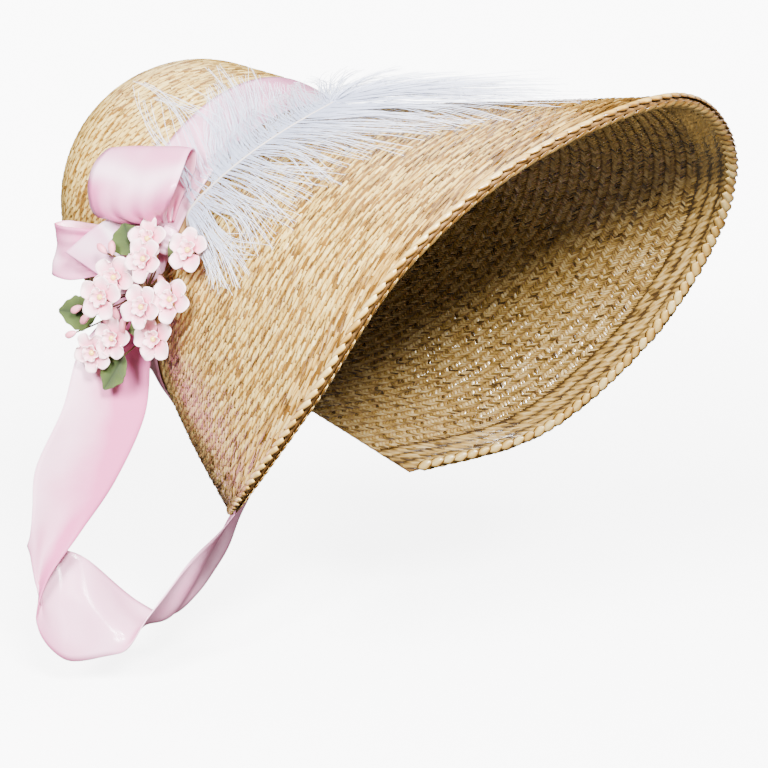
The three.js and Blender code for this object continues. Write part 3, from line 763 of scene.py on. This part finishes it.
def braid(
    name, rows, side, straw, length, width, slant, lanes, step, dome, base, sway=3, rough=0.06,
    tilt=0.12, step_up=0.25, dark=0, painted_top_shade=0, groove_shade=0.4, tint_share=1, herring=False,
):
    """Straw slips laid along braid rows, in millimetres and degrees.

    step: from slip to slip. dome, base: height of a slip, and under it. sway, rough, tilt: how much
    slant, height and tilt vary. step_up: height of each row's edge over the next row.
    dark, browned, groove: deeper tint everywhere, then painted shade over the top of the hat and painted
    shade between rows.
    herring: every second lane slants the other way.
    """
    slips = []
    for number, row in enumerate(rows):
        if row.length < length:
            continue
        per_lane = max(int(row.length / step), 3)
        for lane in range(lanes):
            across = ((lane + 0.5) / lanes - 0.5) * ROW_PITCH
            along = (np.arange(per_lane) + 0.5 * (lane % 2) + 0.17 * (number % 3)) * row.length / per_lane
            turns = np.interp(along, row.lengths, row.steps)
            way = -1 if herring and lane % 2 else 1
            slips += [(number, at, across, way, turn) for at, turn in zip(along, turns)]
    row_of, along_row, across_row, way, turn = np.array(slips).T
    count = len(slips)
    angle = np.radians(slant + rng.normal(0, sway, count)) * way
    slip_length = length * rng.uniform(0.88, 1.12, count)
    slip_width = width * rng.uniform(0.88, 1.12, count)
    rise = rng.normal(0, rough, count)
    tip = rng.normal(0, tilt, count)
    shade = np.clip(rng.beta(1.1, 2.6, count) + dark, 0, 1)
    # Painted shade over the top of the hat.
    top_shade = painted_top_shade * bell(turn, 50)
    shift = rng.uniform(0, 90, (count, 2))

    def spot(sheet, u, v):
        p = 2 * u - 1
        a = p * slip_length[sheet] / 2
        c = (2 * v - 1) * slip_width[sheet] / 2 * (1 - 0.28 * p ** 2)
        cos, sin = np.cos(angle[sheet]), np.sin(angle[sheet])
        return along_row[sheet] + a * cos - c * sin, across_row[sheet] + a * sin + c * cos

    def place(sheet, u, v):
        p = 2 * u - 1
        q = 2 * v - 1
        along, across = spot(sheet, u, v)
        lift = base + dome * (1 - q ** 2) + 0.16 * p - 0.2 * np.maximum(0, -p)
        lift = lift + rise[sheet] + tip[sheet] * q
        lift = lift + step_up * (-across / ROW_PITCH)
        points = np.zeros((len(sheet), 3))
        for number in np.unique(row_of).astype(int):
            here = row_of[sheet] == number
            points[here] = rows[number].place(along[here], across[here], lift[here], side)
        return points

    def uv(sheet, u, v):
        return np.stack([v * slip_width[sheet], u * slip_length[sheet]], 1) + shift[sheet]

    def tint(sheet, u, v):
        # Painted shade: darker towards each row's edges and each slip's sides, and over the top of the
        # hat.
        between = np.clip(np.abs(spot(sheet, u, v)[1]) / (ROW_PITCH / 2), 0, 1.15) ** 5
        own = shade[sheet] * tint_share * 0.75 + top_shade[sheet]
        return own + 0.08 * u + 0.2 * (2 * v - 1) ** 2 + between * groove_shade

    return grid_mesh(name, 2, 2, place, [straw], sheets=count, uv=uv, tint=tint)


# Slip styles; two of their numbers set painted shade, over the top of the hat and between rows.
OUTER = dict(
    length=7, width=2.35, slant=13, lanes=3, step=5.2, dome=0.5, base=0.15, rough=0.1, sway=4,
    step_up=0.45, tilt=0.24, painted_top_shade=0.18,
)
OUTER_BORDER = dict(
    length=11, width=2.9, slant=12, lanes=3, step=7.4, dome=0.5, base=0.25, rough=0.12, sway=6,
    step_up=0.45, groove_shade=0.2, tilt=0.28, painted_top_shade=0.16,
)
INNER = dict(
    length=4.2, width=1.8, slant=52, lanes=2, step=2.15, dome=0.6, base=0.1, rough=0.08, sway=7,
    step_up=0.45, groove_shade=0.22, tilt=0.2, herring=True,
)
INNER_BORDER = dict(
    length=9, width=4.6, slant=26, lanes=2, step=5.5, dome=0.4, base=0.25, rough=0.12, sway=8,
    groove_shade=0.35, dark=0.12, tint_share=0.6,
)
CROWN_OUTSIDE = dict(
    length=7.6, width=2.3, slant=24, lanes=3, step=5.6, dome=0.5, base=0.2, groove_shade=0.28, tilt=0.18,
    dark=0.02,
)
CROWN_INSIDE = dict(
    length=8, width=3.4, slant=40, lanes=2, step=5.4, dome=0.4, base=0.1, sway=6, herring=True,
)


def laid_flat(width, length, shift=0.0):
    """Places across and along each sheet in millimetres. shift: one number, or a row for each sheet."""
    def uv(sheet, u, v):
        moved = shift[sheet] if isinstance(shift, np.ndarray) else shift
        return np.stack([v * width, u * length], 1) + moved
    return uv


def brim_wall(sheet, u, v):
    turn = (2 * v - 1) * BRIM_END
    share = np.clip(u, 0, 0.997)
    return brim_point(share, turn) - normal_at(brim_point, share, turn) * BACKING_INSET


def crown_wall(sheet, u, v):
    turn = v * 360
    share = np.clip(u, 0.004, 0.999)
    normal = normal_at(crown_point, np.minimum(share, CROWN_LAST), turn)
    return crown_point(share, turn) - normal * BACKING_INSET


def backing_tint(sheet, u, v):
    return 0.3 + 0.2 * np.sin(u * 40)


def backing(name, columns, rows, place, wall, node, merge=0):
    """Plain straw wall between the outer and the inner slips, darker than them as painted shade where it
    shows between them.
    """
    made = grid_mesh(
        name, columns, rows, place, [BACKING], merge=merge, wall=wall,
        uv=laid_flat(400, 200), tint=backing_tint,
    )
    settle(made, "straw_braid", node)


brim_rows = [BrimRow(d) for d in np.arange(BORDER_WIDTH + ROW_PITCH / 2, BRIM_REACH - 2, ROW_PITCH)]
border_rows = [BrimRow(d) for d in np.arange(EDGE_BRAID_WIDTH * 0.55, BORDER_WIDTH, ROW_PITCH)]
crown_end = CrownRow.from_ring[-1]
under_band = STRAW_WALL + RIBBON_WIDTH - 3
crown_rows = [CrownRow(d) for d in np.arange(under_band, crown_end - 3, ROW_PITCH)]
crown_inner_rows = [CrownRow(d) for d in np.arange(4, crown_end - 4, ROW_PITCH)]
backing_wall = STRAW_WALL - 2 * BACKING_INSET
backing("Brim_Backing", 120, 30, brim_wall, -backing_wall, "brim")
backing("Crown_Backing", 96, 36, crown_wall, backing_wall, "crown", merge=0.3)
for braid_name, braid_rows, braid_side, braid_straw, style in (
    ("Brim_Braid_Outside", brim_rows, 1, PALE_STRAW, OUTER),
    ("Brim_Border_Outside", border_rows, 1, BORDER_STRAW, OUTER_BORDER),
    ("Brim_Braid_Inside", brim_rows, -1, GOLDEN_STRAW, INNER),
    ("Brim_Border_Inside", border_rows, -1, GOLDEN_STRAW, INNER_BORDER),
    ("Crown_Braid_Outside", crown_rows, 1, PALE_STRAW, CROWN_OUTSIDE),
    ("Crown_Braid_Inside", crown_inner_rows, -1, GOLDEN_STRAW, CROWN_INSIDE),
):
    settle(braid(braid_name, braid_rows, braid_side, braid_straw, **style), "straw_braid")


def edge_teeth(name, side, shift, lift):
    """Rounded teeth of the braid bound round the brim's edge, one layer on each side."""
    row = BrimRow(TOOTH_ROW)
    count = int(row.length / TOOTH_PITCH)
    start = TOOTH_END_GAP + (np.arange(count) + shift) * (row.length - 2 * TOOTH_END_GAP) / count
    slope = rng.normal(0, 2, count)
    size = rng.uniform(0.92, 1.08, count)
    shade = rng.beta(1.8, 3, count)
    own_shift = rng.uniform(0, 90, (count, 2))

    def place(sheet, u, v):
        p = 2 * u - 1
        q = 2 * v - 1
        slant = np.radians(TOOTH_SLANT + slope[sheet])
        half = TOOTH_WIDTH / 2 * size[sheet] * np.sqrt(np.clip(1 - np.abs(p) ** 2.6 * 0.75, 0.02, 1))
        a = p * TOOTH_LENGTH / 2 * size[sheet]
        c = q * half
        along = start[sheet] + a * np.cos(slant) - c * np.sin(slant)
        across = -0.5 - (a * np.sin(slant) + c * np.cos(slant)) * 0.62
        height = lift + 1.0 * (1 - q ** 2) * (1 - 0.4 * p ** 2) + 0.7 * p * side
        height = height - 0.75 * np.maximum(0, 0.4 - TOOTH_ROW - across)
        return row.place(along, across, height, side)

    def tint(sheet, u, v):
        # Painted shade: darker along both sides of each tooth, where the teeth meet.
        return shade[sheet] * 0.45 + 0.1 * u + 0.7 * np.abs(2 * v - 1) ** 3

    return grid_mesh(
        name, 6, 6, place, [BORDER_STRAW], sheets=count, wall=0.45,
        uv=laid_flat(7, 12, own_shift), tint=tint,
    )


settle(edge_teeth("Edge_Braid_Outer", 1, 0, 1.3), "straw_braid", "edge_braid")
settle(edge_teeth("Edge_Braid_Inner", -1, 0.5, 0.7), "straw_braid")


# Ribbons

def two_faced(obj):
    """Cloth thickness, with the second material on the inner face and the edges on the first."""
    with edited(obj.data) as bm:
        front = bm.faces[:]
        bmesh.ops.recalc_face_normals(bm, faces=front)
        result = bmesh.ops.extrude_face_region(bm, geom=front, use_keep_orig=True)
        inner = {part for part in result["geom"] if isinstance(part, bmesh.types.BMFace)}
        bm.normal_update()
        for part in result["geom"]:
            if isinstance(part, bmesh.types.BMVert):
                part.co -= part.normal * RIBBON_WALL * MM
        bmesh.ops.recalc_face_normals(bm, faces=bm.faces[:])
        if len(obj.data.materials) > 1:
            for face in bm.faces:
                face.material_index = 1 if face in inner else 0
    obj.data.shade_smooth()


def ribbon(name, fronts, rears, steps, materials, shade, gathers=(0, 0), curl=0.0, waves=()):
    """A ribbon ruled between two edge curves, and its length, in millimetres.

    gathers: pleats at each end. curl: how far its middle stands off the ruled line.
    waves: height, cycles along, cycles across and phase of each.
    """
    def middle(share):
        return (path(fronts, share) + path(rears, share)) / 2

    fine = np.linspace(0, 1, 400)
    lengths = travelled(middle(fine))
    even = np.interp(np.linspace(0, lengths[-1], steps + 1), lengths, fine)

    def place(sheet, u, v):
        at = even[np.rint(u * steps).astype(int)]
        front = path(fronts, at)
        rear = path(rears, at)
        along = middle(np.minimum(at + 0.004, 1)) - middle(np.maximum(at - 0.004, 0))
        normal = unit(np.cross(along, rear - front))
        pleat = gathers[0] * bell(u, 0.2) + gathers[1] * bell(1 - u, 0.2)
        offset = pleat * np.sin(2 * np.pi * 4 * v + 3 * u) + curl * (1 - (2 * v - 1) ** 2)
        for height, along_cycles, across_cycles, phase in waves:
            wave = np.sin(2 * np.pi * (along_cycles * u + across_cycles * v) + phase)
            offset = offset + height * wave * np.sin(np.pi * u)
        return front + (rear - front) * v[:, None] + normal * offset[:, None]

    uv = laid_flat(RIBBON_WIDTH, lengths[-1])
    obj = grid_mesh(name, 16, steps, place, materials, uv=uv, tint=shade)
    two_faced(obj)
    return obj, lengths[-1]


def bow_ribbon(name, rows, *form, **shape):
    edges = [[on_hat(reach, turn, lift * BOW_LIFT) for reach, turn, lift in edge] for edge in zip(*rows)]
    return ribbon(name, *edges, *form, **shape)


def gathered_shade(light, depth):
    """Painted shade and highlight: deeper pink where the loop is gathered and around a painted pale sheen
    at a share of its length.
    """
    def shade(sheet, u, v):
        ends = bell(u, 0.17) + bell(1 - u, 0.17)
        sheen = bell(u - light - 0.05 * np.sin(5 * v), 0.07)
        return depth * ends + 0.4 * bell(u - light, 0.2) - 0.8 * sheen
    return shade


def tie_shade(sheet, u, v):
    """Painted shade: deeper pink under the bow and along one edge of the hanging strand."""
    return 0.45 * bell(u, 0.05) + 2.1 * (0.82 - v) * np.clip(1 - u / 0.42, 0, 1) + 0.06


def tie_edge(side):
    """One edge of the tie, from its seat under the band on one side to that on the other."""
    def seated(row, way):
        reach, turn, lift = row[side]
        return on_hat(reach, way * turn, TIE_SEAT + lift * TIE_FLARE)

    sizes = np.array((TIE_HALF_SPREAD, BRIM_REACH, TIE_DROP))
    hanging = [np.array(row[side]) * sizes for row in TIE_ROWS]
    return [seated(row, -1) for row in TIE_TOP] + hanging + [seated(row, 1) for row in TIE_TOP[::-1]]


# Painted shade on the loops' inner faces and painted light on the fold's outer face, by the darker and
# paler satin copies.
upper_loop, upper_length = bow_ribbon(
    "Bow_Upper_Loop", UPPER_LOOP, 90, [SATIN, SATIN_SHADED], gathered_shade(0.66, 0.8),
    gathers=(1.1, 1.5), curl=-2.2, waves=[(1.0, 1.3, 0.8, 0.4), (0.45, 3.1, 1.4, 1.9)],
)
side_loop, side_length = bow_ribbon(
    "Bow_Side_Loop", SIDE_LOOP, 80, [SATIN, SATIN_SHADED], gathered_shade(0.62, 0.6),
    gathers=(0.8, 1.2), curl=-1.4, waves=[(0.9, 1.2, 0.9, 1.7), (0.4, 2.8, 1.6, 0.3)],
)
fold, fold_length = bow_ribbon(
    "Bow_Fold", FOLD_STRIP, 40, [SATIN_LIT, SATIN], gathered_shade(0.5, 0.4),
    gathers=(1.3, 0), waves=[(0.9, 0.8, 1.3, 0.2)],
)
tie, tie_length = ribbon(
    "Chin_Tie", tie_edge(0), tie_edge(1), 240, [SATIN], tie_shade,
    curl=1.6, waves=[(1.7, 2.4, 0.9, 0.8), (0.9, 5.3, 1.3, 2.1), (0.35, 11, 1.9, 0.6)],
)


def band_place(sheet, u, v):
    turn = u * 360
    distance = STRAW_WALL + 0.6 + v * (RIBBON_WIDTH - 1)
    share = np.interp(distance, CrownRow.from_ring, CrownRow.shares)
    crease = 0.35 * np.sin(np.radians(turn) * 5 + v * 7) + 0.2 * np.sin(np.radians(turn) * 11 + v * 12)
    lift = BAND_LIFT + crease * np.sin(np.pi * v)
    return crown_point(share, turn) + normal_at(crown_point, share, turn) * lift[:, None]


band = grid_mesh(
    "Crown_Band", 14, 160, band_place, [SATIN], merge=0.01, uv=laid_flat(RIBBON_WIDTH, 590)
)
band_length = travelled(crown_point(np.full(361, 0.11), np.linspace(0, 360, 361)))[-1]


def standing(origin, away, towards):
    """Axes of a piece at a place: across it, towards a point, and away from the hat."""
    z = unit(away)
    y = towards - origin
    y = unit(y - z * np.dot(y, z))
    x = np.cross(y, z)
    return np.stack([x, y, z], 1)


knot_seat = on_hat(*KNOT_PLACE, 1.6 + KNOT[2] / 2)
knot_out = on_hat(*KNOT_PLACE, 1) - on_hat(*KNOT_PLACE, 0)
knot_axes = standing(knot_seat, knot_out, on_hat(0.02, -90, 0))


def knot_place(sheet, u, v):
    """A short ribbon wrapped round the gathered ends, with pleats across it."""
    angle = u * 2 * np.pi
    q = 2 * v - 1
    pleat = 1 + 0.05 * np.cos(q * 14 + 2 * np.sin(angle))
    waist = (1 - 0.45 * np.abs(q) ** 3) * pleat
    local = np.stack([
        KNOT[1] / 2 * np.cos(angle) * waist,
        KNOT[0] / 2 * q * 0.94,
        KNOT[2] / 2 * np.sin(angle) * waist,
    ], 1)
    return knot_seat + local @ knot_axes.T


knot = grid_mesh("Bow_Knot", 20, 40, knot_place, [SATIN], merge=0.01, uv=laid_flat(17, 34))
two_faced(band)
two_faced(knot)
for satin_piece, node_name in (
    (band, "crown_band"),
    (upper_loop, "bow_upper_loop"),
    (side_loop, "bow_side_loop"),
    (fold, "bow_fold"),
    (knot, "bow_knot"),
    (tie, "chin_tie"),
):
    settle(satin_piece, "satin_ribbon", node_name)


# Flower spray

def spray_place(row, extra=0.0):
    return on_hat(row[0], row[1], row[2] * SPRAY_LIFT + extra)


def spray_away(row):
    return unit(spray_place(row, 1) - spray_place(row) + SPRAY_FACING)


def spray_axes(row):
    """Axes of a bud or a leaf, whose length runs towards the place of its tip."""
    return standing(spray_place(row), spray_away(row), on_hat(*row[3], row[2] * SPRAY_LIFT))


def blossom(number, row):
    """Two layers of five cupped, ruffled petals round a bead."""
    seat = spray_place(row)
    axes = standing(seat, spray_away(row), on_hat(row[0] + 0.1, row[1], 0))
    fifths = np.arange(5) * 72
    turns = np.radians(np.concatenate([fifths, fifths + 25]) + row[3] + rng.normal(0, 4, 10))
    reach = np.repeat((BLOSSOM_WIDTH * 0.68, BLOSSOM_WIDTH * 0.3), 5) * rng.uniform(0.9, 1.06, 10)
    cup = np.repeat((BLOSSOM_CUP * 0.55, BLOSSOM_CUP * 0.75), 5)
    level = np.repeat((0.5, 1.3), 5)
    phase = rng.uniform(0, 6.28, 10)

    def place(sheet, u, v):
        q = 2 * v - 1
        spread = np.radians(41) * np.sin(np.pi * np.clip(0.1 + 0.6 * u, 0, 1)) ** 0.7
        rim = 1 - 0.24 * q ** 2 * u ** 2 - 0.12 * q ** 4 * u ** 4
        r = (0.12 + 0.88 * u) * reach[sheet] * rim
        angle = turns[sheet] + q * spread
        ruffle = 0.75 * np.sin(q * 5.5 + phase[sheet]) * u ** 3
        height = level[sheet] + cup[sheet] * u ** 1.7 * (0.8 + 0.35 * q ** 2) + ruffle
        return seat + np.stack([r * np.cos(angle), r * np.sin(angle), height], 1) @ axes.T

    petals = grid_mesh(
        f"Blossom_{number}", 10, 8, place, [PETAL, BEAD], sheets=10, wall=0.25,
        uv=laid_flat(7, 9, np.arange(10)[:, None] * 3.3), tint=lambda sheet, u, v: 0.1 + 0.8 * u ** 0.8,
    )
    at_seat = Matrix([[*(axes[i] * MM), seat[i] * MM] for i in range(3)] + [[0, 0, 0, 1]])
    flattened = at_seat @ Matrix.Translation((0, 0, 2.3)) @ Matrix.Scale(0.8, 4, (0, 0, 1))
    with edited(petals.data) as bm:
        bead = bmesh.ops.create_uvsphere(bm, u_segments=14, v_segments=9, radius=1.7, matrix=flattened)
        for vert in bead["verts"]:
            for face in vert.link_faces:
                face.material_index = 1
    petals.data.shade_smooth()
    settle(petals, "petal", f"blossom_{number}")


def bud(number, row):
    """A rolled bud with a twist of its petals towards the tip."""
    seat = spray_place(row)
    axes = spray_axes(row)

    def place(sheet, u, v):
        profile = path(BUD_OUTLINE, u)
        angle = v * 2 * np.pi + 1.1 * u
        crease = 1 - 0.14 * np.abs(np.sin(1.5 * v * 2 * np.pi)) * np.sin(np.pi * u)
        radius = np.maximum(profile[:, 0], 0) * BUD_WIDTH / 2 * crease
        local = np.stack([radius * np.cos(angle), profile[:, 1] * BUD_LENGTH, radius * np.sin(angle)], 1)
        return seat + local @ axes.T

    made = grid_mesh(
        f"Bud_{number}", 18, 12, place, [BUD], merge=0.02, uv=laid_flat(9, 8, number),
        tint=lambda sheet, u, v: 0.15 + 0.7 * u,
    )
    settle(made, "petal", f"bud_{number}")


def leaf(number, row):
    """A pointed oval leaf with a midrib, side veins and a ruffled rim."""
    seat = spray_place(row)
    axes = spray_axes(row)
    length = row[5] * LEAF_LENGTH
    half_width = row[4] * LEAF_LENGTH / 2 * 1.2

    def place(sheet, u, v):
        q = 2 * v - 1
        half = half_width * np.sin(np.pi * (0.04 + 0.93 * u ** 0.8)) * (1 + 0.05 * np.sin(u * 26))
        vein = 0.22 * np.abs(np.sin((u * 7 - np.abs(q) * 1.6) * np.pi)) * np.abs(q) * (1 - np.abs(q))
        ruffle = 0.7 * np.sin(u * 16 + number) * q ** 2
        height = 0.25 * np.abs(q) * half + 0.1 * length * u ** 2 + vein * 3 + ruffle * np.sin(np.pi * u)
        return seat + np.stack([q * half, u * length, height], 1) @ axes.T

    def tint(sheet, u, v):
        q = np.abs(2 * v - 1)
        return 0.35 + 0.3 * q - 0.25 * bell(q, 0.08)

    # The shaded leaves take the darker copy of the leaf cloth, as painted shade.
    made = grid_mesh(
        f"Leaf_{number}", 24, 28, place, [SHADED_LEAF if number in SHADED_LEAVES else VELVET_LEAF],
        wall=0.5, uv=laid_flat(2 * half_width, length, number * 7), tint=tint,
    )
    settle(made, "leaf", f"leaf_{number}")


for make, spray_rows in ((blossom, BLOSSOMS), (bud, BUDS), (leaf, LEAVES)):
    for count, spray_row in enumerate(spray_rows, 1):
        make(count, spray_row)

root_reach, root_turn, root_lift = SPRAY_ROOT
root = spray_place(SPRAY_ROOT)
foot = [on_hat(SPRAY_FOOT, root_turn, 0.3), on_hat(SPRAY_FOOT, root_turn, 1.5), root]
wires = []
for spray_row in BLOSSOMS + BUDS + LEAVES:
    bend = on_hat(
        root_reach + (spray_row[0] - root_reach) * 0.75,
        root_turn + (spray_row[1] - root_turn) * 0.75,
        spray_row[2] * 0.6 * SPRAY_LIFT,
    )
    head = spray_place(spray_row)
    off = spray_away(spray_row)
    line = [root, bend, head - off * 1.6, head - off * 0.1]
    wires.append(tube("wire", line, (WIRE_WIDTH / 2, WIRE_WIDTH / 2.6), 7, 14, [WIRE]))
wires.append(tube("wire", foot, (WIRE_WIDTH / 2, WIRE_WIDTH / 2), 7, 8, [WIRE]))
stems = joined("Flower_Stems", wires)
stems.data.uv_layers.new(name="UVMap")
settle(stems, "stem_wire", "flower_stems")


# Plume

def shaft_spot(share):
    """Reach, turn and lift in millimetres of a place on the shaft."""
    values = path(SHAFT, share)
    values[..., 2] = 0.3 + SHAFT_WIDTH / 2 + values[..., 2] * PLUME_LIFT
    return values


shaft_points = [on_hat(*shaft_spot(np.array(k / 12))) for k in range(13)]
quill = tube("Plume_Shaft", shaft_points, (SHAFT_WIDTH / 2.6, 0.3), 10, 60, [QUILL])
quill.data.uv_layers.new(name="UVMap")


def barbs(name, fronds, count, hairs, wave=2.0):
    """Soft barbs from the shaft to the frond ends, drawn together in locks, each with fine hairs."""
    order = np.linspace(0, 1, count)
    locks = max(count // 12, 5)
    number = np.round(order * locks).astype(int)
    pull = rng.uniform(0.2, 0.85, count)
    ends = path(fronds, np.clip(order * (1 - pull) + number / locks * pull, 0, 1))
    starts = path(fronds, order)[:, 0]
    base = shaft_spot(np.clip(starts + rng.normal(0, 0.01, count), 0.03, 1))
    reach = ends[:, 1] * rng.uniform(0.72, 1.06, count)
    turn = ends[:, 2] + rng.normal(0, 1.1, count)
    lift = ends[:, 3] * PLUME_LIFT * rng.uniform(0.4, 1.5, count)
    droop = rng.uniform(0.7, 1.3, count)
    sway = rng.normal(0, wave, locks + 1)[number] + rng.normal(0, 0.4, count)
    phase = rng.uniform(0, 6.28, locks + 1)[number] + rng.normal(0, 0.25, count)

    def centre(k, u):
        bend = u ** (1.4 * droop[k])
        return on_hat(
            base[k, 0] + (reach[k] - base[k, 0]) * u,
            base[k, 1] + (turn[k] - base[k, 1]) * bend + sway[k] * u * np.sin(4.5 * u + phase[k]),
            base[k, 2] + (lift[k] - base[k, 2]) * u + 2.2 * np.sin(np.pi * u) * droop[k],
        )

    def directions(k, u):
        along = centre(k, np.minimum(u + 0.02, 1)) - centre(k, np.maximum(u - 0.02, 0))
        return unit(np.cross(along, BARB_FACING)), unit(along)

    def barb_place(sheet, u, v):
        across, _ = directions(sheet, u)
        width = BARB_WIDTH * (1 - 0.7 * u)
        return centre(sheet, u) + across * ((v - 0.5) * width)[:, None]

    def uv(sheet, u, v):
        return np.stack([v, u * 12], 1) + (sheet % 97)[:, None] * 1.7

    strands = grid_mesh(
        name, 1, 12, barb_place, [FEATHER], sheets=count, uv=uv,
        tint=lambda sheet, u, v: 0.25 + 0.5 * u,
    )
    total = count * hairs
    carrier = np.repeat(np.arange(count), hairs)
    spot = rng.uniform(0.06, 1, total)
    hand = np.where(rng.uniform(0, 1, total) < 0.5, -1, 1)
    length = rng.uniform(2.5, 7, total) * (1 - 0.3 * spot)
    lean = rng.uniform(1.5, 4.5, total)
    curl = rng.normal(0, 0.35, total)

    def hair_place(sheet, u, v):
        across, along = directions(carrier[sheet], spot[sheet])
        out = np.cross(across, along)
        run = (u * length[sheet])[:, None]
        aim = across * hand[sheet][:, None] + along * lean[sheet][:, None] + out * curl[sheet][:, None]
        point = centre(carrier[sheet], spot[sheet]) + unit(aim) * run + along * (0.25 * run * u[:, None])
        return point + along * ((v - 0.5) * HAIR_WIDTH * (1 - 0.6 * u))[:, None]

    fine = grid_mesh(
        name + "_hairs", 1, 2, hair_place, [FEATHER], sheets=total, uv=uv,
        tint=lambda sheet, u, v: 0.4 + 0.4 * u,
    )
    return [strands, fine]


near_shaft = shaft_spot(UPPER_FRONDS[:, 0])
downy_fronds = UPPER_FRONDS.copy()
downy_fronds[:, 1:3] = near_shaft[:, :2] + (UPPER_FRONDS[:, 1:3] - near_shaft[:, :2]) * 0.42
downy_fronds[:, 3] *= 0.5
barb_meshes = barbs("barbs_down", downy_fronds, 170, 34, 1.0)
barb_meshes += barbs("barbs_upper", UPPER_FRONDS, 250, 26)
barb_meshes += barbs("barbs_lower", LOWER_FRONDS, 300, 28)
barb_meshes += barbs("barbs_wisps", WISP_FRONDS, 40, 44, 6)
barb_meshes += barbs("barbs_crest", CREST_FRONDS, 190, 44)
settle(quill, "plume", "plume")
settle(joined("Plume_Barbs", barb_meshes), "plume")


# Floor, light and camera

def stage():
    """A pale floor that curves up behind and glows evenly to the camera."""
    mesh = bpy.data.meshes.new("Floor")
    with edited(mesh) as bm:
        bmesh.ops.create_grid(bm, x_segments=80, y_segments=80, size=5.5)
        for vert in bm.verts:
            vert.co.z = FLOOR_HEIGHT + 0.45 * max(vert.co.xy.length - 2.8, 0) ** 2
    made, tree, shader = material("Floor_White", 0.9)
    place = add(tree, "ShaderNodeTexCoord").outputs["Object"]
    seen = add(tree, "ShaderNodeLightPath").outputs["Is Camera Ray"]
    pale = mixed(tree, "MIX", noise(tree, place, 3.0, 2), tone(247, 247, 248), tone(250, 250, 250))
    away = add(tree, "ShaderNodeVectorMath", {0: place}, operation="LENGTH").outputs["Value"]
    span = {"Value": away, "From Min": 0.6, "From Max": 2.6, "To Min": 5.5, "To Max": CAMERA_WHITE}
    glow = add(tree, "ShaderNodeMapRange", span).outputs[0]
    shown = add(tree, "ShaderNodeMath", {0: seen, 1: glow}, operation="MULTIPLY").outputs[0]
    feed(tree, shader, {
        "Base Color": mixed(tree, "MIX", seen, tone(58, 53, 42), pale),
        "Emission Color": (1, 1, 1, 1),
        "Emission Strength": shown,
    })
    make_object("Floor", mesh, [made])


def lamp(name, energy, place, aim, size):
    data = bpy.data.lights.new(name, "AREA")
    data.energy = energy
    data.size = size
    obj = bpy.data.objects.new(name, data)
    obj.location = place
    obj.rotation_euler = (Vector(aim) - Vector(place)).to_track_quat("-Z", "Y").to_euler()
    bpy.context.scene.collection.objects.link(obj)


stage()
centre = (0, -0.03, -0.13)
lamp("Key", 180, (-2.1, -0.9, 1.0), centre, 0.5)
lamp("Front", 210, (-1.25, -1.75, 1.0), (0, 0, -0.16), 0.4)
lamp("Back", 34, (0.2, 1.6, 2.2), centre, 2.2)
lamp("Left", 45, (1.7, -1.3, 0.6), centre, 2.6)
lamp("Side", 60, (-2.1, -0.95, 0.6), centre, 0.4)
world = bpy.data.worlds.new("Studio")
world.use_nodes = True
sky = world.node_tree
to_camera = add(sky, "ShaderNodeLightPath").outputs["Is Camera Ray"]
strength = add(sky, "ShaderNodeMapRange", {"Value": to_camera, "To Min": 0.17, "To Max": CAMERA_WHITE})
feed(sky, sky.nodes["Background"], {"Color": (1, 1, 1, 1), "Strength": strength.outputs[0]})
bpy.context.scene.world = world

right = Vector((math.cos(AZIMUTH), math.sin(AZIMUTH), 0))
level = math.cos(ELEVATION)
ahead = Vector((-math.sin(AZIMUTH) * level, math.cos(AZIMUTH) * level, -math.sin(ELEVATION)))
upward = right.cross(ahead)
camera_data = bpy.data.cameras.new("Camera")
camera_data.lens = 90
camera_data.sensor_width = 36
camera = bpy.data.objects.new("Camera", camera_data)
turned = Matrix((right, upward, -ahead)).transposed().to_4x4()
camera.matrix_world = Matrix.Translation(CAMERA_AT) @ turned
bpy.context.scene.collection.objects.link(camera)
bpy.context.scene.camera = camera
